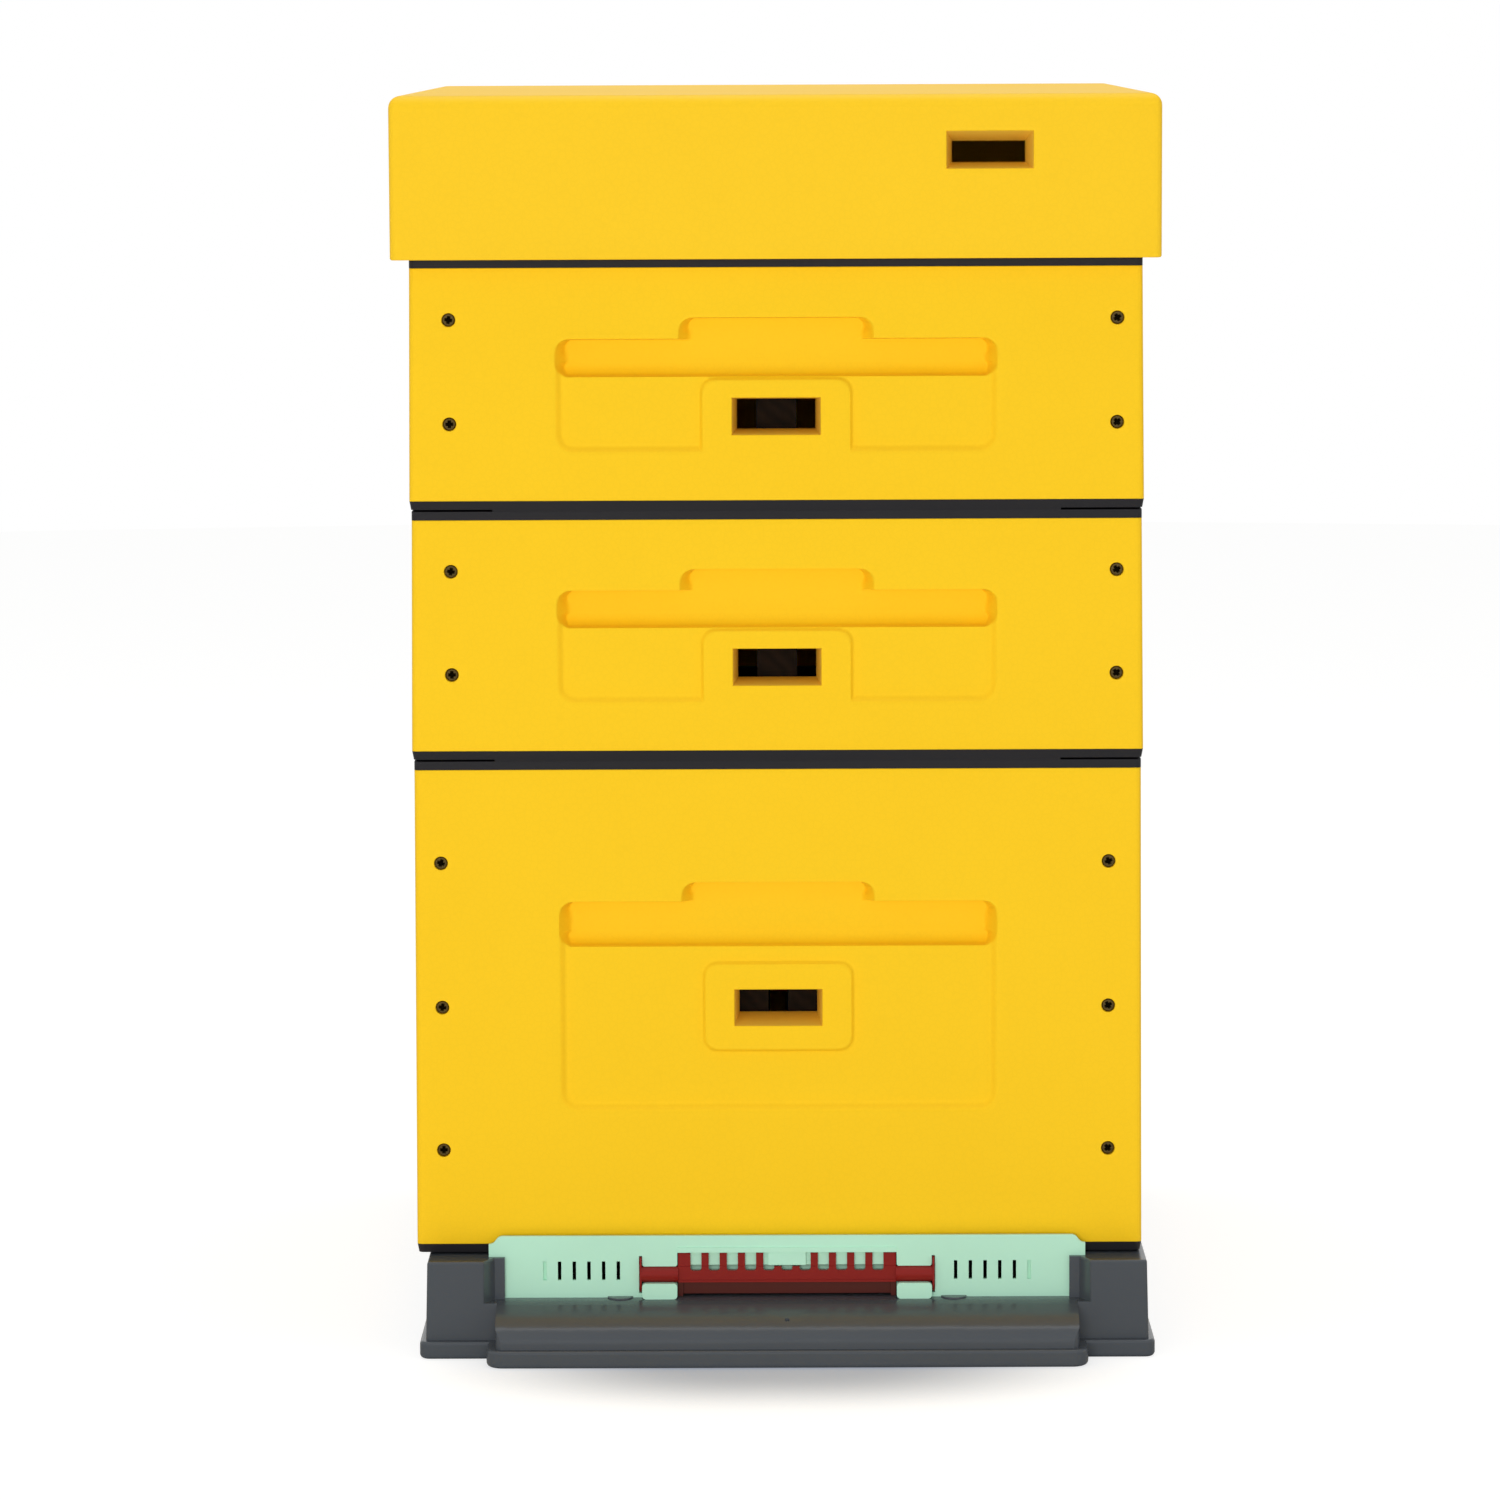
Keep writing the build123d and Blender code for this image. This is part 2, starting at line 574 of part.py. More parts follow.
def board_section():
    """Landing board seen from the side: level under the reducer, then easing over to its front."""
    nose = reach(BOARD_REACH - BOARD_DRAFT)
    fall = Bezier((reach(BOARD_FLAT), ENTRANCE_Z), (reach(BOARD_FLAT + BOARD_EASE), ENTRANCE_Z),
                  (nose + BOARD_BEND_BACK, BOARD_BEND_Z), (nose, BOARD_SHOULDER_Z), (nose, BOARD_FRONT_H))
    rest = Polyline((nose, BOARD_FRONT_H), (reach(BOARD_REACH), 0), (BOX_FRONT_Y, 0), (BOX_FRONT_Y, ENTRANCE_Z),
                    (reach(BOARD_FLAT), ENTRANCE_Z))
    return extrude(Plane.YZ * make_face(Curve() + [fall, rest]), BOARD_W / 2, both=True)


def landing_board():
    """Board in front of the entrance, its front corners rounded in plan."""
    length = BOX_FRONT_Y - reach(BOARD_REACH)
    middle = (BOX_FRONT_Y + reach(BOARD_REACH)) / 2
    return extrude(rounded_rect(Plane.XY, BOARD_W, length, BOARD_R, 0, middle), ENTRANCE_Z) & board_section()


def above_board():
    """Space over the falling part of the board, taken out of the body between the posts."""
    return block(-BOARD_W / 2, BOARD_W / 2, reach(POST_REACH), reach(BOARD_FLAT), BOARD_FRONT_H,
                 ENTRANCE_Z) - board_section()


def gate_mark():
    """Small round pit left in the middle of the board by the moulding gate."""
    return Pos(0, reach(GATE_MARK_REACH), GATE_MARK_Z + GATE_MARK_H / 2) * Cylinder(GATE_MARK_D / 2, GATE_MARK_H)


def entrance_channel():
    """Way in between the posts, with a lip on each side in front of the reducer's ends."""
    corners = [(ENTRANCE_HALF, BOX_Y - INNER_HALF_L), (ENTRANCE_HALF, reach(LIP_FRONT)),
               (LIP_END_X, reach(LIP_FRONT)), (POST_IN_X, reach(FLANGE_REACH))]
    mirrored = [(-x, y) for x, y in reversed(corners)]
    outline = make_face(Polyline(*corners, *mirrored, close=True))
    return extrude(Plane.XY.offset(ENTRANCE_Z) * outline, FLOOR_H)


def reducer_groove(side):
    """Upright groove behind a lip, open at the top, that holds one end of the reducer."""
    xs = sorted((side * ENTRANCE_HALF, side * (REDUCER_HALF + GROOVE_CLEARANCE)))
    return block(*xs, reach(REDUCER_FRONT + GROOVE_CLEARANCE), reach(REDUCER_BACK - GROOVE_CLEARANCE),
                 ENTRANCE_Z, FLOOR_H)


def floor_inside():
    """Room under the frames, the step for the mesh, the tray's space and its rear opening."""
    ledge_w = INNER_HALF_W - MESH_LEDGE
    ledge_l = INNER_HALF_L - MESH_LEDGE
    z_ledge = ENTRANCE_Z - MESH_T
    room = block(-INNER_HALF_W, INNER_HALF_W, BOX_Y - INNER_HALF_L, BOX_Y + INNER_HALF_L, z_ledge, FLOOR_H)
    tray_room = block(-ledge_w, ledge_w, BOX_Y - ledge_l, BOX_Y + ledge_l, RUNNER_Z, z_ledge)
    under_half = ledge_w - RUNNER_W
    under_tray = block(-under_half, under_half, BOX_Y - ledge_l, BOX_Y + ledge_l, 0, RUNNER_Z)
    opening = block(-ledge_w, ledge_w, BOX_Y, BOX_REAR_Y + FLANGE_OUT, RUNNER_Z, RUNNER_Z + TRAY_SLOT_H)
    return room + tray_room + under_tray + opening


def floor_hollows():
    """Spaces open to the ground that leave an even skin in the side walls, posts and board."""
    outer = BOX_W / 2 - FLOOR_DRAFT - SKIN
    inner_low = INNER_HALF_W - MESH_LEDGE + SKIN
    inner_high = INNER_HALF_W + SKIN
    z_low = ENTRANCE_Z - MESH_T - SKIN
    z_high = FLOOR_H - SKIN
    front = reach(POST_REACH - FLOOR_DRAFT - SKIN)
    rear = BOX_REAR_Y - FLOOR_DRAFT - SKIN
    hollows = []
    for side in (-1, 1):
        low = sorted((side * inner_low, side * outer))
        high = sorted((side * inner_high, side * outer))
        hollows.append(block(*low, BOX_Y - INNER_HALF_L, BOX_Y + INNER_HALF_L, 0, z_low))
        hollows.append(block(*high, front, rear, 0, z_high))
    half = INNER_HALF_W - MESH_LEDGE - RUNNER_W
    hollow_front = reach(BOARD_REACH - BOARD_DRAFT - BOARD_NOSE_SKIN)
    under = Polyline((BOX_Y - INNER_HALF_L - SKIN, 0), (BOX_Y - INNER_HALF_L - SKIN, ENTRANCE_Z - SKIN),
                     (reach(BOARD_FLAT), ENTRANCE_Z - SKIN),
                     (hollow_front, BOARD_FRONT_H + BOARD_NOSE_SKIN), (hollow_front, 0), close=True)
    hollows.append(extrude(Plane.YZ * make_face(under), half, both=True))
    return hollows


def post_corners(shape):
    """Upright edges where the posts' front faces meet the way in."""
    post_front = reach(POST_REACH - FLOOR_DRAFT)
    return [edge for edge in shape.edges()
            if abs(edge.center().Y - post_front) < FLOOR_DRAFT
            and LIP_END_X < abs(edge.center().X) < POST_IN_X
            and edge.length > ENTRANCE_H / 2]


def floor_moulding():
    """One moulding: outside, less the entrance, the inside and the hollows below."""
    moulding = floor_outside() - entrance_channel()
    moulding = fillet(post_corners(moulding), POST_EDGE_R)
    moulding = moulding - floor_inside() - floor_hollows()
    for side in (-1, 1):
        moulding -= reducer_groove(side)
        stop = Pos(side * STOP_X, reach(REDUCER_FRONT + GROOVE_CLEARANCE), ENTRANCE_Z) * Cylinder(
            STOP_R, 2 * STOP_H)
        stop = round_top(stop, STOP_EDGE_R)
        behind = block(side * STOP_X - STOP_R, side * STOP_X + STOP_R,
                       reach(REDUCER_FRONT + GROOVE_CLEARANCE), BOX_FRONT_Y, ENTRANCE_Z - STOP_H, FLOOR_H)
        moulding += stop - behind
    return moulding - gate_mark()


def floor_mesh():
    """Bee-tight grid that lies on the floor's inner step."""
    half_w = INNER_HALF_W - MESH_CLEARANCE
    half_l = INNER_HALF_L - MESH_CLEARANCE
    plate = Pos(0, BOX_Y) * Rectangle(2 * half_w, 2 * half_l)
    slots = Pos(0, BOX_Y) * GridLocations(MESH_SLOT_PITCH_X, MESH_SLOT_PITCH_Y, MESH_COLUMNS, MESH_ROWS)
    plate -= slots * Rectangle(MESH_SLOT_W, MESH_SLOT_L)
    return extrude(Plane.XY.offset(ENTRANCE_Z - MESH_T) * plate, MESH_T)


def inspection_tray():
    """Shallow drawer on the floor's runners, pulled out at the rear."""
    half = INNER_HALF_W - MESH_LEDGE - TRAY_CLEARANCE
    front = BOX_Y - INNER_HALF_L + MESH_LEDGE + TRAY_FRONT_GAP
    rear = BOX_REAR_Y - TRAY_END_INSET
    tray = block(-half, half, front, rear, RUNNER_Z, RUNNER_Z + TRAY_RIM_H)
    tray -= block(-half + TRAY_T, half - TRAY_T, front + TRAY_T, rear - TRAY_T,
                  RUNNER_Z + TRAY_T, RUNNER_Z + TRAY_RIM_H)
    pull = TRAY_PULL_W / 2
    return tray + block(-pull, pull, rear, rear + TRAY_PULL_REACH, RUNNER_Z, RUNNER_Z + TRAY_T)


# Entrance reducer
def reducer_outline():
    """Front outline: a long plate whose upper corners step in with an S-shaped edge."""
    bend = (REDUCER_HALF + REDUCER_TOP_HALF) / 2
    right = Bezier((REDUCER_HALF, REDUCER_SHOULDER_Z), (bend - 1, REDUCER_SHOULDER_Z),
                   (bend + 1, REDUCER_TOP_Z), (REDUCER_TOP_HALF, REDUCER_TOP_Z))
    left = Bezier((-REDUCER_TOP_HALF, REDUCER_TOP_Z), (-bend - 1, REDUCER_TOP_Z),
                  (1 - bend, REDUCER_SHOULDER_Z), (-REDUCER_HALF, REDUCER_SHOULDER_Z))
    foot = Polyline((-REDUCER_HALF, REDUCER_SHOULDER_Z), (-REDUCER_HALF, ENTRANCE_Z),
                    (REDUCER_HALF, ENTRANCE_Z), (REDUCER_HALF, REDUCER_SHOULDER_Z))
    top = Line((REDUCER_TOP_HALF, REDUCER_TOP_Z), (-REDUCER_TOP_HALF, REDUCER_TOP_Z))
    return make_face(Curve() + [right, top, left, foot])


def flat_rect(x0, x1, z0, z1):
    """Rectangle in x and z."""
    return Pos((x0 + x1) / 2, (z0 + z1) / 2) * Rectangle(x1 - x0, z1 - z0)


def vent_slots():
    """Rows of upright slots at both ends; the outermost one on each side stays blind."""
    cuts = []
    for side in (-1, 1):
        for number in range(VENT_SLOTS + 1):
            x = side * (VENT_SLOT_FIRST_X + number * VENT_SLOT_PITCH)
            slot = Pos(x, ENTRANCE_Z + VENT_SLOT_UP) * Rectangle(VENT_SLOT_W, VENT_SLOT_H)
            blind = number == VENT_SLOTS
            back = REDUCER_FRONT - BLIND_DEPTH if blind else REDUCER_BACK
            cuts.append(front_slab(slot, back, REDUCER_FRONT))
    return cuts


def tab_face(middle, low, high):
    """Front of one clip tab, its corners rounded."""
    return Pos(middle, (low + high) / 2) * RectangleRounded(TAB_W, high - low, TAB_R)


def guard_bearings():
    """Clip tabs that hold the guard's journals: the upper ones level with the plate, the lower ones
    standing forward, tied together behind."""
    pads = []
    for side in (-1, 1):
        xs = sorted((side * TAB_IN_X, side * SLIT_IN_X))
        middle = sum(xs) / 2
        upper_low = GUARD_AXIS_Z + TAB_OPENING
        upper_high = WINDOW_TOP_Z + RIB_H
        upper = tab_face(middle, upper_low, upper_high) + flat_rect(*xs, upper_low + TAB_R, upper_high)
        lower = tab_face(middle, ENTRANCE_Z, GUARD_AXIS_Z - TAB_OPENING)
        pad = front_slab(upper, HOUSING_BACK, REDUCER_FRONT) + front_slab(lower, HOUSING_BACK, TAB_FRONT)
        pad -= along_x(JOURNAL_R + JOURNAL_CLEARANCE, *xs)
        tie_front = GUARD_AXIS_REACH - JOURNAL_R - JOURNAL_CLEARANCE
        pads.append(pad + front_slab(flat_rect(*xs, SLIT_LOW_Z, SLIT_HIGH_Z), HOUSING_BACK, tie_front))
    return pads


def entrance_reducer():
    """Plate with the guard's window, the wall behind its comb, clip tabs, a rib and vent slots."""
    window = flat_rect(-TAB_IN_X, TAB_IN_X, ENTRANCE_Z, WINDOW_TOP_Z)
    centre_tab_z = GUARD_AXIS_Z + SHORT_TOOTH_TOP + CENTRE_TAB_GAP
    window -= flat_rect(-CENTRE_TAB_HALF, CENTRE_TAB_HALF, centre_tab_z, WINDOW_TOP_Z)
    for side in (-1, 1):
        ends = sorted((side * TAB_IN_X, side * SLIT_IN_X))
        slit = sorted((side * SLIT_IN_X, side * (SLIT_IN_X + SLIT_W)))
        window += flat_rect(*ends, ENTRANCE_Z, WINDOW_TOP_Z)
        window += flat_rect(*slit, SLIT_LOW_Z, SLIT_HIGH_Z)
    plate = front_slab(reducer_outline() - window, REDUCER_BACK, REDUCER_FRONT)
    rib = flat_rect(-TAB_IN_X, TAB_IN_X, WINDOW_TOP_Z, WINDOW_TOP_Z + RIB_H)
    rib = front_slab(rib, REDUCER_FRONT, REDUCER_FRONT + RIB_T)
    wall = flat_rect(-HOUSING_HALF, HOUSING_HALF, GUARD_AXIS_Z - HOUSING_DROP, WINDOW_TOP_Z + HOUSING_OVER)
    wall = front_slab(wall, HOUSING_BACK, REDUCER_BACK)
    wall -= along_x(GUARD_BELOW + 2 * SWEEP_CLEARANCE, -HOUSING_HALF, HOUSING_HALF)
    return plate + rib + wall + guard_bearings() - vent_slots()


def mouse_guard():
    """Comb on a beam with round journals and thin upright end cheeks, drawn with its teeth up."""
    low_z = GUARD_AXIS_Z - GUARD_BELOW
    comb = flat_rect(-GUARD_HALF, GUARD_HALF, low_z, GUARD_AXIS_Z + TOOTH_TOP)
    beam = flat_rect(-GUARD_HALF, GUARD_HALF, low_z, GUARD_AXIS_Z + JOURNAL_R)
    gap_h = 2 * (TOOTH_TOP - GUARD_ROOT)
    for number in range(COMB_GAPS):
        x = (number - (COMB_GAPS - 1) / 2) * TOOTH_PITCH
        gap = Pos(x, GUARD_AXIS_Z + TOOTH_TOP) * RectangleRounded(COMB_GAP_W, gap_h, TOOTH_ROOT_R)
        comb -= gap
        beam -= gap
    short_half = TOOTH_PITCH + TOOTH_ROOT_R
    comb -= flat_rect(-short_half, short_half, GUARD_AXIS_Z + SHORT_TOOTH_TOP, GUARD_AXIS_Z + TOOTH_TOP)
    back = GUARD_AXIS_REACH - GUARD_T / 2
    front = back + GUARD_T + GUARD_BEAM_STEP
    guard = front_slab(comb, back, back + GUARD_T) + front_slab(beam, back, front)
    groove_z = GUARD_AXIS_Z - GUARD_GROOVE_DROP
    groove = flat_rect(-GUARD_HALF, GUARD_HALF, groove_z - GUARD_GROOVE_W / 2, groove_z + GUARD_GROOVE_W / 2)
    guard -= front_slab(groove, front - GUARD_GROOVE_DEPTH, front)
    cheek_in = SLIT_IN_X + (SLIT_W - CHEEK_T) / 2
    for side in (-1, 1):
        guard += along_x(JOURNAL_R, *sorted((side * GUARD_HALF, side * cheek_in)))
        guard += guard_cheek(*sorted((side * cheek_in, side * (cheek_in + CHEEK_T))))
    return guard


def guard_cheek(x0, x1):
    """Thin plate at the end of a journal, as deep as the journal and taller, with round ends."""
    place = Plane(origin=(x0, reach(GUARD_AXIS_REACH), GUARD_AXIS_Z), x_dir=(0, 0, 1), z_dir=(1, 0, 0))
    return extrude(place * SlotOverall(2 * CHEEK_HALF_H, 2 * JOURNAL_R), x1 - x0)


# Entrance shutter
def entrance_shutter():
    """Thin strip between two end posts that stand on the floor, pulled out forwards under the guard."""
    half = TAB_IN_X - SHUTTER_CLEARANCE
    top_z = GUARD_AXIS_Z - GUARD_BELOW - SHUTTER_CLEARANCE
    strip = flat_rect(-half, half, ENTRANCE_Z + SHUTTER_FOOT_GAP, top_z)
    shutter = front_slab(strip, SHUTTER_BACK, SHUTTER_BACK + SHUTTER_T)
    for side in (-1, 1):
        post = flat_rect(*sorted((side * half, side * (half - SHUTTER_POST_W))), ENTRANCE_Z, top_z)
        shutter += front_slab(post, SHUTTER_BACK, SHUTTER_BACK + SHUTTER_POST_T)
    return shutter


os.makedirs("parts", exist_ok=True)
save_low(floor_moulding(), "floor_moulding")
save_low(floor_mesh(), "floor_mesh")
save_low(inspection_tray(), "inspection_tray")
save_low(entrance_reducer(), "entrance_reducer")
save_low(mouse_guard(), "mouse_guard")
save_low(entrance_shutter(), "entrance_shutter")
hive_box("brood", BROOD_Z, BROOD_H, BROOD_RELIEF, BROOD_SCREW_ROWS, BROOD_SCREW_INSETS)
frame_set("brood", BROOD_Z, BROOD_H, BROOD_FRAMES, BROOD_PITCH)
for super_name, super_z in (("lower_super", LOWER_SUPER_Z), ("upper_super", UPPER_SUPER_Z)):
    hive_box(super_name, super_z, SUPER_H, SUPER_RELIEF, SUPER_SCREW_ROWS, SUPER_SCREW_INSETS)
    frame_set(super_name, super_z, SUPER_H, SUPER_FRAMES, SUPER_PITCH)
save(crown_board(), "crown_board")
save(feed_plug(), "feed_plug")
save(roof(), "roof_shell")
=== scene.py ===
import math

import bmesh
import bpy
import numpy as np
from bpy.props import FloatProperty, FloatVectorProperty, PointerProperty
from mathutils import Matrix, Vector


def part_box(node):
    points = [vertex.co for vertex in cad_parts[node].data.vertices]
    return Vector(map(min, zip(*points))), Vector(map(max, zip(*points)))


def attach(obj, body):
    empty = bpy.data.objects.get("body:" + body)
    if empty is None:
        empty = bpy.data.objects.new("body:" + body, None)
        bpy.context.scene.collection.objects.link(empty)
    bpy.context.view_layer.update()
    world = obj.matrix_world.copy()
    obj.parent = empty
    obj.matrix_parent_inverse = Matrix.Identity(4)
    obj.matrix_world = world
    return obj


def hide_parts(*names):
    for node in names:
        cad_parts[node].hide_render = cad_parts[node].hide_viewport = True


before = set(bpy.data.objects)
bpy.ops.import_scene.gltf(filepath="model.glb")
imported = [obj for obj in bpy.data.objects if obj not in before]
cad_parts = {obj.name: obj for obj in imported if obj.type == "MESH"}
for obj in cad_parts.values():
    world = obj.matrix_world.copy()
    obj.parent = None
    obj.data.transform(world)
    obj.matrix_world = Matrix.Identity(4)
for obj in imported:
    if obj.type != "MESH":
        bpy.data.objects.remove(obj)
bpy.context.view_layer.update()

bl_info = {
    "name": "Polystyrene Beehive",
    "version": (1, 0, 0),
    "blender": (4, 5, 0),
    "location": "View3D > Sidebar > Beehive",
    "description": "Dresses the stacked polystyrene beehive in its painted, moulded and wooden surfaces",
    "category": "Object",
}

MM = 0.001
BOXES = ("brood", "lower_super", "upper_super")
SIDES = dict(front=(0, -1), rear=(0, 1), left=(-1, 0), right=(1, 0))

# Heights above each box's own bottom: shallow field, boss, flight slot, hand scoop and its crown.
# A slot's drop is how far its inner end lies below its mouth.
SUPER_LEVELS = dict(field_low=36.5 * MM, boss_low=20.0 * MM, boss_high=80.5 * MM, slot_mid=58.2 * MM,
                    slot_drop=0.75 * MM, scoop_low=82.0 * MM, scoop_high=106.0 * MM, crown_high=119.0 * MM)
BROOD_LEVELS = dict(field_low=91.0 * MM, boss_low=129.0 * MM, boss_high=182.5 * MM, slot_mid=155.2 * MM,
                    slot_drop=0.0, scoop_low=193.0 * MM, scoop_high=222.0 * MM, crown_high=234.0 * MM)

# Corner screws: heights above the box's bottom, insets from the left and right edges seen from the front
SUPER_SCREWS = dict(rows=(54.0 * MM, 118.0 * MM), insets=(24.0 * MM, 15.5 * MM))
BROOD_SCREWS = dict(rows=(66.0 * MM, 156.0 * MM, 246.5 * MM), insets=(16.0 * MM, 20.0 * MM))

# A screw: share of the head's radius inside its rolled edge and the angles of that edge, heights of the
# dome, the edge and the head's side, the cross recess, the tip, and the turn from one screw to the next
HEAD_FLAT = 0.8
HEAD_ROLL = (0.2, 1.57)
DOME_H = 0.35 * MM
ROLL_H = 0.8 * MM
HEAD_SIDE = 1.4 * MM
CROSS_HALF = 1.05 * MM
CROSS_LEAN = 0.45 * MM
CROSS_DEPTH = 1.3 * MM
CROSS_LONG = 2.5
TIP_START = 6.0 * MM
TIP_END = 4.0 * MM
TIP_SHARE = 0.8
SCREW_TURN = 0.7

# Screw seats: half the square of the face that a seat takes up, the gap round a head, and the rounding
SEAT_PATCH = 7.0 * MM
SEAT_GAP = 0.3 * MM
SEAT_EDGE = 0.4 * MM

# Rounding at the mouths of the slots and the vent
MOUTH_EDGE = 0.9 * MM

# Ends of the front and rear panels: from where the draft spreads the columns, and from where it does so fully
END_START = 30.0 * MM
END_FULL = 20.0 * MM

# Roof: radius of the upright corners and its least value on the top edge, rounding of the lower edge,
# and how far the flat top lies in from the top edge's rounding
ROOF_CORNER = 4.0 * MM
ROOF_LEAST = 0.5 * MM
ROOF_LIP = 1.2 * MM
ROOF_FLAT = 2.0 * MM

# Feed plug: how far the cap overlaps the board, the knob, the brim and its dish, the rounding and the flutes
PLUG_OVERLAP = 8.3 * MM
KNOB_R = 12.0 * MM
BRIM_H = 4.0 * MM
DISH_DEPTH = 0.6 * MM
PLUG_EDGE = 0.8 * MM
FLUTES = 12
FLUTE_DEPTH = 0.7 * MM

# Studio floor: its radius, half sizes of the patch round the hive where the painted shadow is full, how the
# distance from it counts along each axis, where it fades out, and the share of the paper's own light that the
# camera sees
STUDIO_R = 6.0
SHADOW_HALF = (20 * MM, 298 * MM, 0.0)
SHADOW_SQUEEZE = (0.6, 1.0, 0.0)
SHADOW_FADE = (20 * MM, 130 * MM)
PAPER_SHARE = 0.4

# Lamps: side of the square, place, and the point that it faces. A lamp that faces up or down by more than
# the steep share is squared up by the y axis instead of the upright.
KEY_LAMP = (2.2, (-0.5, -4.7, 0.2), (0.0, 0.0, 0.35))
TOP_LAMP = (2.2, (0.0, 0.3, 3.4), (0.0, 0.0, 0.4))
STEEP = 0.95

# Camera: width of its sensor in millimetres, and how far it sees in metres
SENSOR_W = 36.0
SIGHT = 50.0

# Softened edges of the frame's nodes: steps across an edge, and the least angle that is softened
BEVEL_STEPS = 2
BEVEL_ANGLE = math.radians(50)

# Points nearer than this are one: in the shells formed here, and in the frame's nodes
SHELL_WELD = 2e-6
NODE_WELD = 1e-5

# Scale of a wave texture whose bands go from light to dark over one metre
HALF_WAVE = 0.157
WHITE = (1.0, 1.0, 1.0, 1.0)


def linear(hex_colour):
    """Linear red, green and blue of an sRGB hex colour."""
    channels = np.array([int(hex_colour[place:place + 2], 16) for place in (1, 3, 5)]) / 255
    low = channels / 12.92
    high = ((channels + 0.055) / 1.055) ** 2.4
    return tuple(np.where(channels <= 0.04045, low, high))


def length(label, note, size_mm):
    """A length property, given in millimetres."""
    return FloatProperty(name=label, description=note, default=size_mm * MM, unit="LENGTH", precision=4)


def colour(label, note, hex_colour):
    """A colour property, given as sRGB hex."""
    return FloatVectorProperty(name=label, description=note, default=linear(hex_colour), subtype="COLOR",
                               size=3, min=0.0, max=1.0)


class HiveSizes(bpy.types.PropertyGroup):
    """Sizes of the shapes that are formed here."""
    scoop_w: length("Scoop width", "Width of a hand scoop", 272.0)
    scoop_depth: length("Scoop depth", "Depth of a hand scoop", 14.0)
    scoop_side: length("Scoop side slope", "How far the scoop's side walls lean in", 7.0)
    scoop_floor: length("Scoop floor slope", "How far the scoop's lower wall leans in", 1.2)
    scoop_round: length("Scoop floor round", "Radius between the scoop's lower wall and its back", 8.0)
    scoop_lip: length("Scoop lip", "How far the scoop's upper wall leans in", 1.0)
    scoop_r: length("Scoop corner", "Radius of the scoop's corners", 9.0)
    crown_w: length("Crown width", "Width of the raised middle of a scoop", 120.0)
    field_w: length("Field width", "Width of the shallow field below a scoop", 271.0)
    field_depth: length("Field depth", "Depth of the shallow field", 3.0)
    field_r: length("Field corner", "Radius of the field's corners", 11.0)
    field_edge: length("Field edge", "Run of the field's sloping edge", 3.2)
    boss_edge: length("Boss edge", "Run of the boss's sloping edge", 1.6)
    boss_w: length("Boss width", "Width of the level boss round the flight slot", 91.0)
    boss_r: length("Boss corner", "Radius of the boss's corners", 8.0)
    slot_w: length("Slot width", "Width of the flight slot at its mouth", 54.5)
    slot_h: length("Slot height", "Height of the flight slot at its mouth", 22.8)
    slot_taper: length("Slot taper", "How far each side of the flight slot leans in", 2.9)
    soft_edge: length("Soft edge", "Rounding of the relief's edges", 1.6)
    panel_edge: length("Panel edge", "Rounding of a panel's outer edges", 0.7)
    corner_r: length("Box corner", "Radius of the boxes' upright corners", 3.6)
    rebate_w: length("Rebate width", "Width of the rebate that takes the lug ledge", 15.0)
    rebate_depth: length("Rebate depth", "Depth of the lug rebate below the box's top", 15.0)
    head_d: length("Screw head", "Diameter of a screw head", 8.0)
    head_h: length("Head height", "Height of a screw head", 2.4)
    sink: length("Screw sink", "Depth of the seat that a screw head lies in", 2.6)
    shank_d: length("Shank", "Diameter of a screw's shank", 4.0)
    shank_l: length("Shank length", "Length of a screw below its head", 75.0)
    roof_edge: length("Roof edge", "Radius of the roof's rounded top edge", 7.5)
    roof_wall: length("Roof wall", "Thickness of the roof's side walls", 30.0)
    roof_top: length("Roof top", "Thickness of the roof's top", 25.0)
    vent_x: length("Vent place", "Distance of the roof vent from the middle", 131.0)
    vent_drop: length("Vent drop", "Distance of the roof vent below the roof's top", 34.0)
    vent_w: length("Vent width", "Width of the roof vent at its mouth", 53.0)
    vent_h: length("Vent height", "Height of the roof vent at its mouth", 22.7)
    throat_w: length("Vent throat width", "Width of the roof vent inside", 45.0)
    throat_h: length("Vent throat height", "Height of the roof vent inside", 13.0)
    throat_drop: length("Vent throat drop", "How far the vent's throat lies below its mouth", 1.7)
    bead: length("Bead", "Size of the polystyrene's foamed beads", 4.0)
    cell: length("Wax cell", "Width of a cell embossed in the wax", 5.4)
    ring: length("Growth ring", "Spacing of the growth rings in the pine", 3.2)


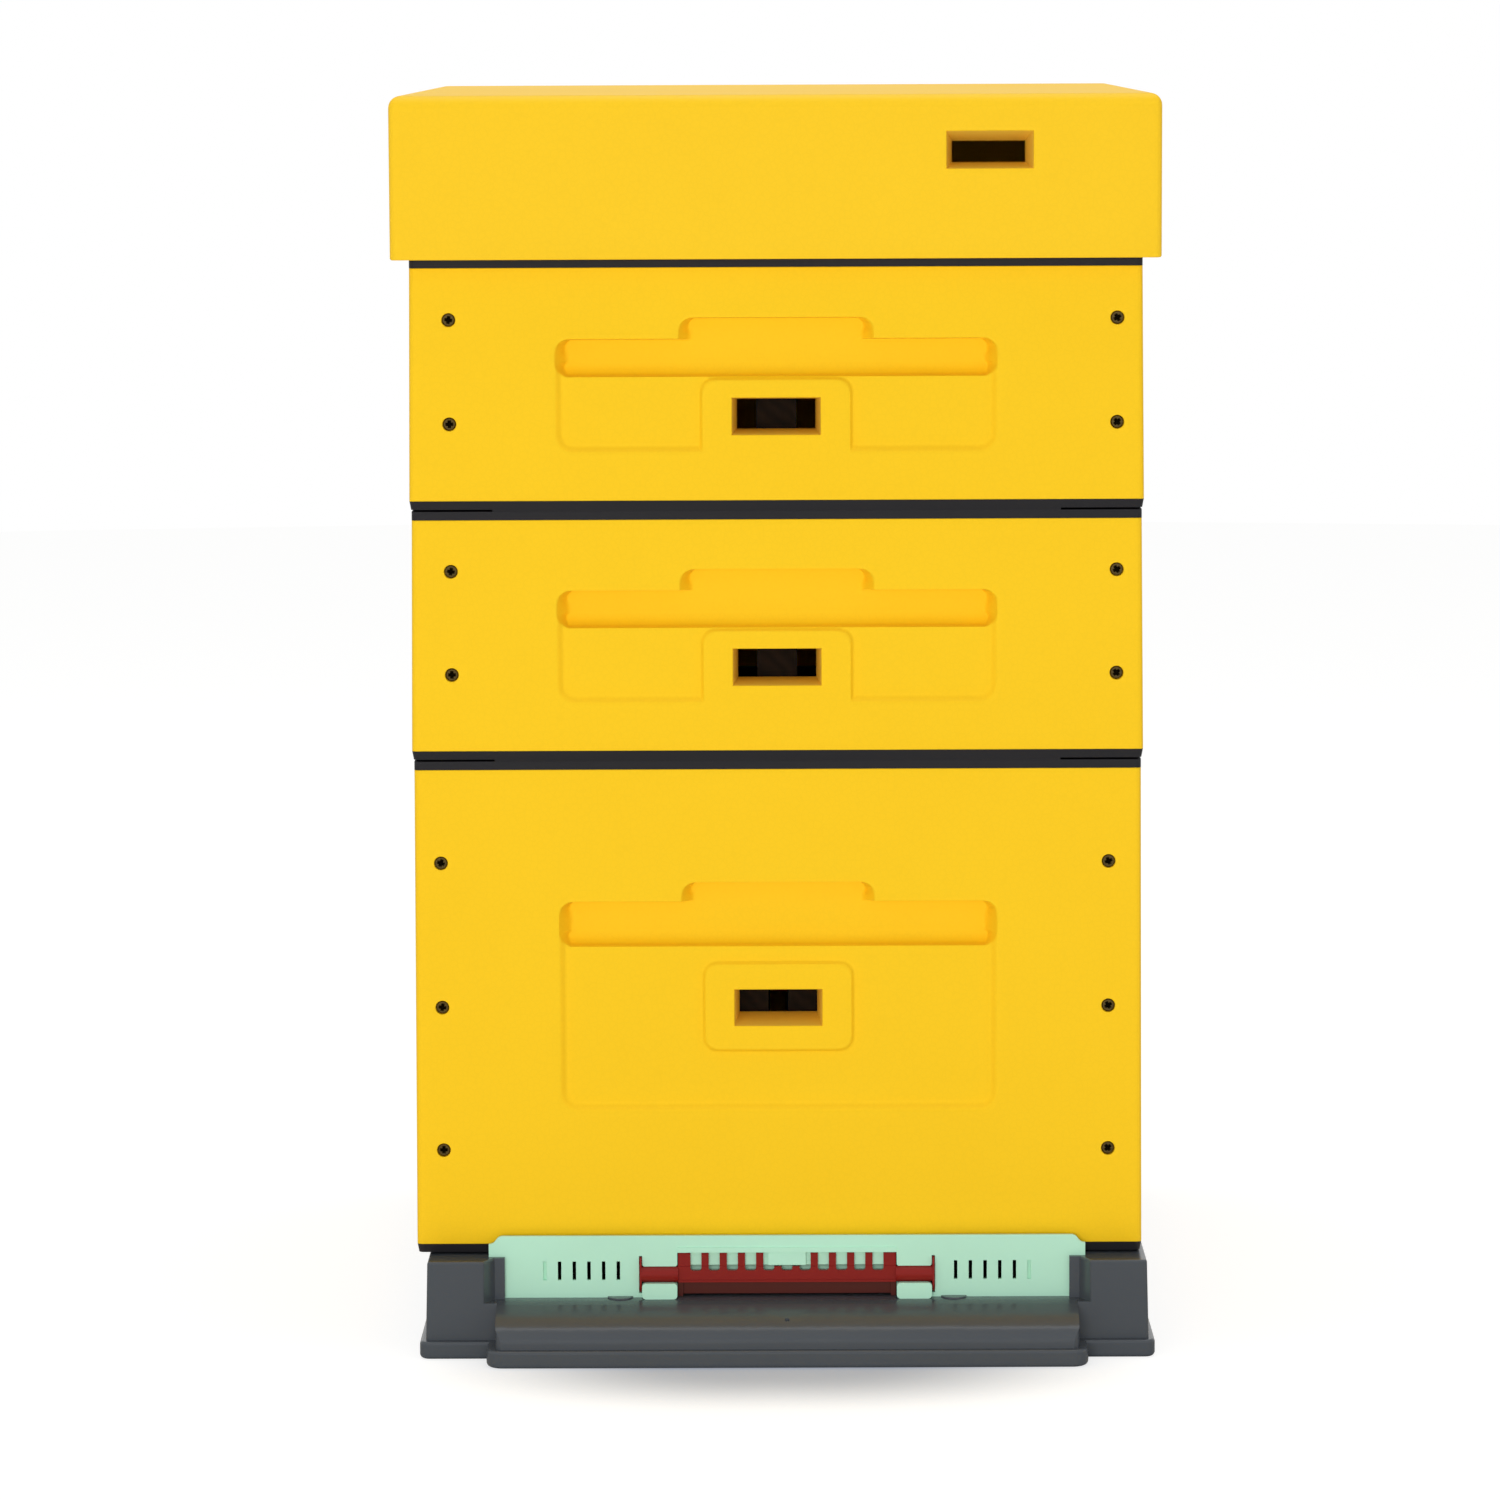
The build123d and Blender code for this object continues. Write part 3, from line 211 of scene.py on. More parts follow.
class HiveColours(bpy.types.PropertyGroup):
    """Base colours of the finishes."""
    yellow: colour("Yellow paint", "Paint on the polystyrene", "#FDCC1C")
    # Paler yellow for the walls inside the slots and the vent.
    recess_tint: colour("Thin paint", "Polystyrene under thin paint inside the slots and the vent", "#FED24D")
    rim: colour("Rim", "Moulded rims of the boxes", "#1F1E21")
    bronze: colour("Screw", "Passivated screws", "#6B5A36")
    grey: colour("Floor", "Moulded floor", "#474C52")
    mesh: colour("Floor mesh", "Mesh in the floor", "#242426")
    tray: colour("Tray", "Inspection tray", "#E6E6E2")
    mint: colour("Reducer", "Entrance reducer", "#BAEBD1")
    red: colour("Guard", "Mouse guard", "#861B16")
    # The shutter's red is darkened as painted shade, for where it stands back in the entrance under the
    # guard.
    shutter_shaded: colour("Shutter", "Entrance shutter", "#55241D")
    pine: colour("Pine", "Top and bottom bars of the frames, browned by use", "#7A5836")
    pine_ring: colour("Pine rings", "Growth rings of the top and bottom bars", "#573C22")
    # The end bars are stained, and darker still as painted shade, since they are seen through the slots
    # inside the boxes.
    stain_and_shade: colour("Stained pine", "End bars of the frames, stained dark by the bees", "#1E140D")
    stain_and_shade_ring: colour("Stained rings", "Growth rings of the end bars", "#130C07")
    wax: colour("Wax", "Foundation sheets", "#DDA53F")
    plywood: colour("Plywood", "Crown board", "#D9B98C")
    plug: colour("Plug", "Feed plug", "#5B5E62")
    ground: colour("Ground", "Studio floor", "#F2F2F0")
    # The near glow is the dim cool grey of a painted shadow round the hive.
    painted_shadow_glow: colour("Near glow", "What the floor adds to the camera's view close to the hive", "#7F8692")
    ground_far: colour("Far glow", "What the floor adds to the camera's view away from the hive", "#E7E7E7")


class HiveStage(bpy.types.PropertyGroup):
    """Camera and light."""
    camera_place: FloatVectorProperty(name="Camera", description="Where the camera stands",
                                      default=(0.0006, -3.9453, 0.8262), subtype="TRANSLATION", unit="LENGTH")
    yaw: FloatProperty(name="Yaw", description="Turn of the camera about the upright",
                       default=math.radians(-0.272), subtype="ANGLE")
    pitch: FloatProperty(name="Pitch", description="How far the camera looks down",
                         default=math.radians(6.913), subtype="ANGLE")
    roll: FloatProperty(name="Roll", description="Tilt of the camera about its own line of sight",
                        default=math.radians(-0.248), subtype="ANGLE")
    lens: FloatProperty(name="Lens", description="Focal length on a 36 mm sensor", default=144.89,
                        unit="CAMERA")
    ambient: FloatProperty(name="Ambient", description="Strength of the even light from all round",
                           default=0.5)
    key_power: FloatProperty(name="Key light", description="Power of the large front light", default=147.0,
                             subtype="POWER")
    top_power: FloatProperty(name="Top light", description="Power of the overhead light", default=32.0,
                             subtype="POWER")


# Surfaces worked out as whole arrays
class Shell:
    """Points and faces of one closed piece, gathered patch by patch."""

    def __init__(self):
        self.points = []
        self.faces = []
        self.recess_tint = []
        self.count = 0

    def patch(self, grid, wrap_columns=False, wrap_rows=False, keep=None, recess_tint=0.0):
        """Add a grid of points, shaped columns by rows by three, and the quads between neighbours.

        Wrapping joins the last column or row to the first, and cells that keep marks False stay open.
        Recess tint is the share of a face that takes a second colour: paler yellow in the slots and the vent,
        painted shade in the screws' cross recesses; one for all cells or one for each.
        """
        columns, rows = grid.shape[:2]
        cells = self.count + np.arange(columns * rows).reshape(columns, rows)
        self.points.append(grid.reshape(-1, 3))
        self.count += columns * rows
        if wrap_columns:
            cells = np.concatenate([cells, cells[:1]])
        if wrap_rows:
            cells = np.concatenate([cells, cells[:, :1]], axis=1)
        quads = np.stack([cells[:-1, :-1], cells[1:, :-1], cells[1:, 1:], cells[:-1, 1:]], axis=-1)
        shares = np.broadcast_to(recess_tint, quads.shape[:2])
        chosen = np.ones(shares.shape, bool) if keep is None else keep
        self.faces.extend(quads[chosen].tolist())
        self.recess_tint.extend(shares[chosen].tolist())

    def cap(self, loop):
        """Close a loop of points with one flat face."""
        self.points.append(loop)
        self.faces.append(list(range(self.count, self.count + len(loop))))
        self.recess_tint.append(0.0)
        self.count += len(loop)

    def piece(self, name, sharp=40.0):
        """The gathered patches as one welded object whose faces point outwards."""
        mesh = bpy.data.meshes.new(name)
        mesh.from_pydata(np.concatenate(self.points).tolist(), [], self.faces)
        shares = mesh.attributes.new("recess_tint", "FLOAT", "FACE").data
        shares.foreach_set("value", np.array(self.recess_tint, np.float32))
        welded = bmesh.new()
        welded.from_mesh(mesh)
        bmesh.ops.remove_doubles(welded, verts=welded.verts, dist=SHELL_WELD)
        bmesh.ops.recalc_face_normals(welded, faces=welded.faces)
        welded.to_mesh(mesh)
        welded.free()
        mesh.polygons.foreach_set("use_smooth", np.ones(len(mesh.polygons), bool))
        mesh.set_sharp_from_angle(angle=math.radians(sharp))
        piece = bpy.data.objects.new(name, mesh)
        bpy.context.scene.collection.objects.link(piece)
        return piece


def spaced(anchors, zones, coarse, growth=0.35, samples=400):
    """Positions from the first anchor to the last, through every anchor.

    The step is a zone's own inside it and grows with the distance from it up to the coarse step:
    between two anchors, positions are spread evenly over the integral of one over the step.
    """
    places = sorted(anchors)
    lines = [np.array(places[:1])]
    for low, high in zip(places, places[1:]):
        fine = np.linspace(low, high, samples)
        step = np.full(fine.shape, coarse)
        for start, end, zone_step in zones:
            away = np.maximum(np.maximum(start - fine, fine - end), 0.0)
            step = np.minimum(step, zone_step + growth * away)
        share = np.concatenate([[0.0], np.cumsum(np.diff(fine) / ((step[1:] + step[:-1]) / 2))])
        count = max(1, round(share[-1]))
        lines.append(np.interp(np.linspace(0.0, share[-1], count + 1)[1:], share, fine))
    return np.concatenate(lines)


def nearest(lines, value):
    """Number of the line at a value."""
    return int(np.argmin(np.abs(lines - value)))


def loop_round(grid, i0, i1, j0, j1):
    """Points round a block of grid cells, once round from its first corner."""
    return np.concatenate([grid[i0:i1, j0], grid[i1, j0:j1], grid[i1:i0:-1, j1], grid[i0, j1:j0:-1]])


def quarter(steps):
    """Sines and one-minus-cosines of angles from nothing to a right angle."""
    angle = np.linspace(0.0, math.pi / 2, steps)
    return np.sin(angle), 1 - np.cos(angle)


def round_turn(steps):
    """Angles once round."""
    return np.linspace(0.0, 2 * math.pi, steps, endpoint=False)


def soft_min(first, second, blend):
    """The lesser of two values, rounded by a parabola where they are within the blend of each other."""
    near = np.maximum(blend - np.abs(first - second), 0.0)
    return np.minimum(first, second) - near * near / (4 * blend)


def soft_max(first, second, blend):
    """The greater of two values, rounded in the same way."""
    return -soft_min(-first, -second, blend)


def pocket(u, v, half, low, high, radius, depth, side, floor, top):
    """Unlimited depth of a pocket with leaning walls.

    It is the distance inside a rounded rectangle times depth over slope, where the slope is the
    near walls' own, mixed in the corners by how near each wall is.
    """
    across = np.maximum(radius - (half - np.abs(u)), 0.0)
    below = np.maximum(radius - (v - low), 0.0)
    above = np.maximum(radius - (high - v), 0.0)
    inside = radius - np.hypot(across, np.maximum(below, above))
    near = across + below + above
    slope = np.where(near > 0, (across * side + below * floor + above * top) / np.maximum(near, 1e-9), side)
    return inside * depth / slope


def floor_profile(rise, depth, lean, radius):
    """Depth over a scoop's lower wall: a steep straight lean, then a quarter circle into the back."""
    past = np.clip(rise - lean, 0.0, radius)
    rounded = depth - radius + np.sqrt(radius * radius - (radius - past) ** 2)
    return np.where(rise < lean, np.maximum(rise, 0.0) / lean * (depth - radius), rounded)


def relief_depth(u, v, sizes, levels):
    """Depth of a panel's face below its plane: scoop and crown, and the field less its boss."""
    low = levels["scoop_low"]
    high = levels["scoop_high"]
    walls = (sizes.scoop_depth, sizes.scoop_side, sizes.scoop_floor, sizes.scoop_lip)
    scoop = pocket(u, v, sizes.scoop_w / 2, low, high, sizes.scoop_r, *walls)
    crown = pocket(u, v, sizes.crown_w / 2, low, levels["crown_high"], sizes.scoop_r, *walls)
    scoop = soft_max(scoop, crown, sizes.soft_edge)
    scoop = soft_min(scoop, np.full_like(scoop, sizes.scoop_depth), 2 * sizes.soft_edge)
    scoop = np.minimum(scoop, floor_profile(v - low, sizes.scoop_depth, sizes.scoop_floor, sizes.scoop_round))
    edge = sizes.field_edge
    field = pocket(u, v, sizes.field_w / 2, levels["field_low"], (low + high) / 2, sizes.field_r,
                   sizes.field_depth, edge, edge, edge)
    edge = sizes.boss_edge
    boss = pocket(u, v, sizes.boss_w / 2 + edge, levels["boss_low"] - edge, levels["boss_high"] + edge,
                  sizes.boss_r + edge, sizes.field_depth, edge, edge, edge)
    field = soft_min(field, sizes.field_depth - boss, sizes.soft_edge / 2)
    field = soft_min(field, np.full_like(field, sizes.field_depth), sizes.soft_edge / 2)
    depth = soft_max(scoop, field, sizes.soft_edge)
    return soft_max(depth, np.zeros_like(depth), sizes.soft_edge / 2)


class Wall:
    """One panel's place: u along it, v up from the box's bottom, w outwards from its nominal face."""

    def __init__(self, box, side):
        rim_low, rim_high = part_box(f"{box}_top_rim")
        low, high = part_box(f"{box}_{side}_panel")
        front_low, front_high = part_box(f"{box}_front_panel")
        rear_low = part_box(f"{box}_rear_panel")[0].y
        self.box = box
        self.side = side
        self.node = f"{box}_{side}_panel"
        z_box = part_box(f"{box}_bottom_rim")[0].z
        self.height = rim_high.z - z_box
        self.v_low = low.z - z_box
        self.v_high = high.z - z_box
        self.end_wall = side in ("front", "rear")
        self.draft = (front_high.x - front_low.x - rim_high.x + rim_low.x) / 2
        self.inner_half_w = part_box(f"{box}_right_panel")[0].x
        self.half = rim_high.x if self.end_wall else (rear_low - front_high.y) / 2
        self.thick = rim_high.y - rear_low
        middle_y = (rim_low.y + rim_high.y) / 2
        face = (rim_high.y - rim_low.y) / 2 if self.end_wall else rim_high.x
        outward = SIDES[side]
        self.u_axis = np.array((-outward[1], outward[0], 0.0))
        self.w_axis = np.array((*outward, 0.0))
        self.origin = np.array((0.0, middle_y, z_box)) + self.w_axis * face

    def place(self, u, v, w):
        """Points of the frame for panel coordinates."""
        u, v, w = np.broadcast_arrays(u, v, w)
        flat = self.origin + u[..., None] * self.u_axis + w[..., None] * self.w_axis
        return flat + v[..., None] * np.array((0.0, 0.0, 1.0))

    def lean(self, v):
        """How far the drafted face stands out at a height."""
        return self.draft * (self.v_high - v) / (self.v_high - self.v_low)


class Slot:
    """The flight slot of a front panel: its block of cells on the face, and how it narrows to its throat."""

    def __init__(self, columns, rows, sizes, levels):
        self.mid = levels["slot_mid"]
        self.drop = levels["slot_drop"]
        half_w = sizes.slot_w / 2
        half_h = sizes.slot_h / 2
        rim_half_h = half_h + MOUTH_EDGE
        self.rim_half_w = half_w + MOUTH_EDGE
        self.mouth_wide = half_w / self.rim_half_w
        self.mouth_tall = half_h / rim_half_h
        self.throat_wide = (half_w - sizes.slot_taper) / self.rim_half_w
        self.throat_tall = (half_h - sizes.slot_taper + self.drop) / rim_half_h
        self.cells = (nearest(columns, -self.rim_half_w), nearest(columns, self.rim_half_w),
                      nearest(rows, self.mid - rim_half_h), nearest(rows, self.mid + rim_half_h))

    def mouth_v(self, v):
        """Height at the mouth of a height on the slot's rim."""
        return self.mid + (v - self.mid) * self.mouth_tall

    def throat_v(self, v):
        """Height in the throat of a height on the slot's rim."""
        return self.mid - self.drop + (v - self.mid) * self.throat_tall


def screw_spots(wall):
    """Places of the screw heads on an end wall, as u and v."""
    if not wall.end_wall:
        return []
    screws = BROOD_SCREWS if wall.box == "brood" else SUPER_SCREWS
    left, right = screws["insets"]
    xs = (left - wall.half, wall.half - right)
    return [(x * wall.u_axis[0], row) for row in screws["rows"] for x in xs]


def panel_lines(wall, sizes, levels, spots, radius):
    """Columns and rows of a panel's face, close together along the relief's edges."""
    coarse = 14.0 * MM
    seat_step = 2.0 * MM
    fine = 0.6 * MM
    ledge_step = 0.3 * MM
    lip_step = 0.25 * MM
    past_lip = 0.4 * MM
    arc = wall.half - radius + radius * quarter(6)[0]
    us = list(arc) + list(-arc)
    vs = [wall.v_low + sizes.panel_edge, wall.v_high - sizes.panel_edge]
    u_zones = []
    for sign in (-1, 1):
        for edge, run in ((sizes.scoop_w / 2, sizes.scoop_side), (sizes.crown_w / 2, sizes.scoop_side),
                          (sizes.boss_w / 2 + sizes.boss_edge, sizes.boss_edge)):
            near = sorted((sign * (edge + MM), sign * (edge - run - MM)))
            u_zones.append((*near, fine))
    ledge = levels["scoop_low"] + sizes.scoop_floor
    v_zones = [(levels["field_low"] - MM, levels["field_low"] + sizes.field_edge + MM, fine),
               (levels["boss_high"] - MM, levels["boss_high"] + sizes.boss_edge + MM, fine),
               (levels["scoop_low"] - MM, ledge + MM, ledge_step),
               (ledge + MM, ledge + sizes.scoop_round + MM, fine)]
    if levels["boss_low"] > levels["field_low"]:
        v_zones.append((levels["boss_low"] - sizes.boss_edge - MM, levels["boss_low"] + MM, fine))
    for lip in (levels["scoop_high"], levels["crown_high"]):
        v_zones.append((lip - sizes.scoop_lip - 2 * lip_step, lip + past_lip, lip_step))
    if wall.side == "front":
        us += [sign * (sizes.slot_w / 2 + MOUTH_EDGE) for sign in (-1, 1)]
        vs += [levels["slot_mid"] + sign * (sizes.slot_h / 2 + MOUTH_EDGE) for sign in (-1, 1)]
    if wall.end_wall:
        us += [-wall.inner_half_w, wall.inner_half_w]
    for u, v in spots:
        us += [u - SEAT_PATCH, u + SEAT_PATCH]
        vs += [v - SEAT_PATCH, v + SEAT_PATCH]
        u_zones.append((u - SEAT_PATCH, u + SEAT_PATCH, seat_step))
        v_zones.append((v - SEAT_PATCH, v + SEAT_PATCH, seat_step))
    columns = spaced(np.unique(np.round(us, 7)), u_zones, coarse)
    rows = spaced(np.unique(np.round(vs, 7)), v_zones, coarse)
    return columns, rows


def panel_face(wall, sizes, levels, radius, u, v):
    """Place of a panel's outer face: u, spread by the draft near the ends, and w.

    It is a height field over u and v: the draft less the relief less the fall of the rounded ends.
    """
    past = np.maximum(np.abs(u) - (wall.half - radius), 0.0)
    fall = radius - np.sqrt(np.maximum(radius * radius - past * past, 0.0))
    lean = wall.lean(v)
    spread = 0.0
    if wall.end_wall:
        spread = np.interp(np.abs(u), [0.0, wall.half - END_START, wall.half - END_FULL], [0.0, 0.0, 1.0])
    return u + np.sign(u) * spread * lean, lean - relief_depth(u, v, sizes, levels) - fall


def panel_piece(wall, sizes, levels):
    """One polystyrene panel as a closed shell.

    Each column runs up the outer face, over the top edge, down the lug rebate and the back, and round
    the bottom edge. Columns stand twice where the rebate starts and ends.
    """
    spots = screw_spots(wall)
    radius = sizes.corner_r if wall.end_wall else sizes.panel_edge
    columns, rows = panel_lines(wall, sizes, levels, spots, radius)
    rebate = np.zeros(len(columns))
    if wall.end_wall:
        first = nearest(columns, -wall.inner_half_w)
        last = nearest(columns, wall.inner_half_w)
        columns = np.insert(columns, [first, last + 1], [columns[first], columns[last]])
        rebate = np.zeros(len(columns))
        rebate[first + 1:last + 2] = sizes.rebate_w
    u, v = np.meshgrid(columns, rows, indexing="ij")
    face_u, face_w = panel_face(wall, sizes, levels, radius, u, v)

    back_u = columns
    back_v = np.array([wall.height - sizes.rebate_depth, wall.v_low])
    slot = Slot(columns, rows, sizes, levels) if wall.side == "front" else None
    if slot:
        i0, i1, j0, j1 = slot.cells
        back_v = np.insert(back_v, 1, slot.throat_v(rows[j0:j1 + 1])[::-1])
        bend = [0.0, slot.rim_half_w, 3 * slot.rim_half_w, wall.half]
        drawn_in = [0.0, slot.rim_half_w * slot.throat_wide, 3 * slot.rim_half_w, wall.half]
        back_u = np.sign(columns) * np.interp(np.abs(columns), bend, drawn_in)
    ends = np.abs(columns) > wall.half - END_START
    back_u = np.where(ends, columns, back_u)[:, None]
    lean_top = np.where(ends, face_u[:, -1] - columns, 0.0)[:, None]
    lean_low = np.where(ends, face_u[:, 0] - columns, 0.0)[:, None]
    share = (back_v - wall.v_low) / (wall.v_high - wall.v_low)

    edge = sizes.panel_edge
    sines, falls = quarter(4)
    outer = [(face_u, v, face_w),
             (face_u[:, -1:], wall.v_high - edge + edge * sines[1:], face_w[:, -1:] - edge * falls[1:]),
             (back_u + lean_top, np.array([wall.v_high, back_v[0]]), (rebate - wall.thick)[:, None])]
    rest = [(back_u + lean_low * (1 - share) + lean_top * share, back_v, -wall.thick),
            (face_u[:, :1], wall.v_low + edge - edge * sines[:0:-1], face_w[:, :1] - edge * falls[:0:-1])]
    outer = np.concatenate([wall.place(*stretch) for stretch in outer], axis=1)
    grid = np.concatenate([outer, *(wall.place(*stretch) for stretch in rest)], axis=1)

    keep = np.ones((len(columns) - 1, grid.shape[1]), bool)
    shell = Shell()
    if slot:
        first_throat = outer.shape[1] + 1
        keep[i0:i1, j0:j1] = False
        keep[i0:i1, first_throat:first_throat + j1 - j0] = False
        rim_u, rim_v, rim_w = (loop_round(values, *slot.cells) for values in (face_u, v, face_w))
        mouth = wall.place(rim_u * slot.mouth_wide, slot.mouth_v(rim_v), rim_w)
        throat = wall.place(rim_u * slot.throat_wide, slot.throat_v(rim_v), -wall.thick)
        add_opening(shell, wall.place(rim_u, rim_v, rim_w), mouth, throat, -wall.w_axis)
    for seat_u, seat_v in spots:
        i0, i1 = (nearest(columns, seat_u + sign * SEAT_PATCH) for sign in (-1, 1))
        j0, j1 = (nearest(rows, seat_v + sign * SEAT_PATCH) for sign in (-1, 1))
        keep[i0:i1, j0:j1] = False
        rim = [loop_round(values, i0, i1, j0, j1) for values in (face_u, v, face_w)]
        add_seat(shell, wall, sizes, seat_u, seat_v, *rim)
    shell.patch(grid, wrap_rows=True, keep=keep)
    shell.cap(grid[0])
    shell.cap(grid[-1])
    return shell.piece(wall.node + "_foam")


def add_opening(shell, rim, mouth, throat, inward):
    """Slot or vent: its mouth's rounded edge, then walls of a paler yellow that narrow to the throat."""
    rings = [rim + (mouth - rim) * sine + MOUTH_EDGE * fall * inward for sine, fall in zip(*quarter(5))]
    shell.patch(np.stack(rings, axis=1), wrap_columns=True)
    shell.patch(np.stack([rings[-1], throat], axis=1), wrap_columns=True, recess_tint=1.0)


def add_seat(shell, wall, sizes, seat_u, seat_v, rim_u, rim_v, rim_w):
    """Round flat-bottomed seat of a screw head: a square of grid points led to a circle, then down."""
    angle = np.arctan2(rim_v - seat_v, rim_u - seat_u)
    bore = sizes.head_d / 2 + SEAT_GAP
    steps = [(bore + SEAT_EDGE * (1 - sine), rim_w - SEAT_EDGE * fall) for sine, fall in zip(*quarter(4))]
    steps += [(bore, -sizes.sink), (0.0, -sizes.sink)]
    rings = [wall.place(seat_u + out * np.cos(angle), seat_v + out * np.sin(angle), w) for out, w in steps]
    shell.patch(np.stack([wall.place(rim_u, rim_v, rim_w), *rings], axis=1), wrap_columns=True)


def screw_piece(box, sizes):
    """All screws of a box: a polar height field for each domed head with its cross, and a turned shank."""
    shell = Shell()
    head = sizes.head_d / 2
    shank = sizes.shank_d / 2
    angle = round_turn(64)
    rolled = HEAD_FLAT + (1 - HEAD_FLAT) * np.sin(np.linspace(*HEAD_ROLL, 5))
    out = head * np.concatenate([np.linspace(0.0, HEAD_FLAT, 15), rolled])
    turn, far = np.meshgrid(angle, out, indexing="ij")
    x = np.abs(far * np.cos(turn))
    y = np.abs(far * np.sin(turn))
    past = np.maximum(far / head - HEAD_FLAT, 0.0) / (1 - HEAD_FLAT)
    dome = DOME_H * (1 - (far / head) ** 2) - ROLL_H * (1 - np.sqrt(np.maximum(1 - past * past, 0.0)))
    arm = np.minimum(np.maximum(x / CROSS_LONG, y), np.maximum(x, y / CROSS_LONG))
    cross = np.clip((CROSS_HALF - arm) / CROSS_LEAN, 0.0, 1.0)
    top = dome - CROSS_DEPTH * cross - DOME_H
    low_r = np.array([head, head, shank, shank, TIP_SHARE * shank, 0.0])
    end = sizes.shank_l
    low_w = -np.array([HEAD_SIDE, sizes.head_h, sizes.head_h, end - TIP_START, end - TIP_END, end])
    below = (len(angle), len(low_r))
    far = np.concatenate([far, np.broadcast_to(low_r, below)], axis=1)
    rise = np.concatenate([top, np.broadcast_to(low_w, below)], axis=1) + sizes.head_h - sizes.sink
    # Painted shade: faces in the cross recess take the screw's near-black colour by this share.
    recess_tint = np.zeros((len(angle), far.shape[1] - 1))
    recess_tint[:, :len(out)] = cross
    for side in ("front", "rear"):
        wall = Wall(box, side)
        for number, (u, v) in enumerate(screw_spots(wall)):
            turned = angle[:, None] + SCREW_TURN * number
            head_grid = wall.place(u + far * np.cos(turned), v + far * np.sin(turned), rise)
            shell.patch(head_grid, wrap_columns=True, recess_tint=recess_tint)
    return shell.piece(f"{box}_screws_driven", sharp=50.0)


def ring_points(columns, half_w, half_l, radius, centre_y, heights):
    """Rounded-rectangle rings: each column's place on a core rectangle plus its normal times the radius."""
    core_x, core_y, normal_x, normal_y = columns
    radius = np.asarray(radius)
    x = core_x[:, None] * (half_w - radius) + normal_x[:, None] * radius
    y = centre_y + core_y[:, None] * (half_l - radius) + normal_y[:, None] * radius
    z = np.broadcast_to(heights, x.shape)
    return np.stack([x, y, z], axis=-1)


def roof_columns(front_x, half_core):
    """Columns once round the roof: the front, right, rear and left walls, each with the corner after it."""
    front = np.asarray(front_x) / half_core
    side = np.linspace(-1.0, 1.0, 13)
    one = np.ones_like(side)
    arc = np.linspace(-math.pi / 2, 0.0, 7)[1:-1]
    parts = [(front, -np.ones_like(front), 0 * front, -np.ones_like(front))]
    walls = [(one, side, one, 0 * side), (-side, one, 0 * side, one), (-one, -side, -one, 0 * side)]
    corners = [(1, -1), (1, 1), (-1, 1), (-1, -1)]
    for number, (sign_x, sign_y) in enumerate(corners):
        angle = arc + number * math.pi / 2
        parts.append((np.full_like(arc, sign_x), np.full_like(arc, sign_y), np.cos(angle), np.sin(angle)))
        parts += walls[number:number + 1]
    return [np.concatenate(column) for column in zip(*parts)]


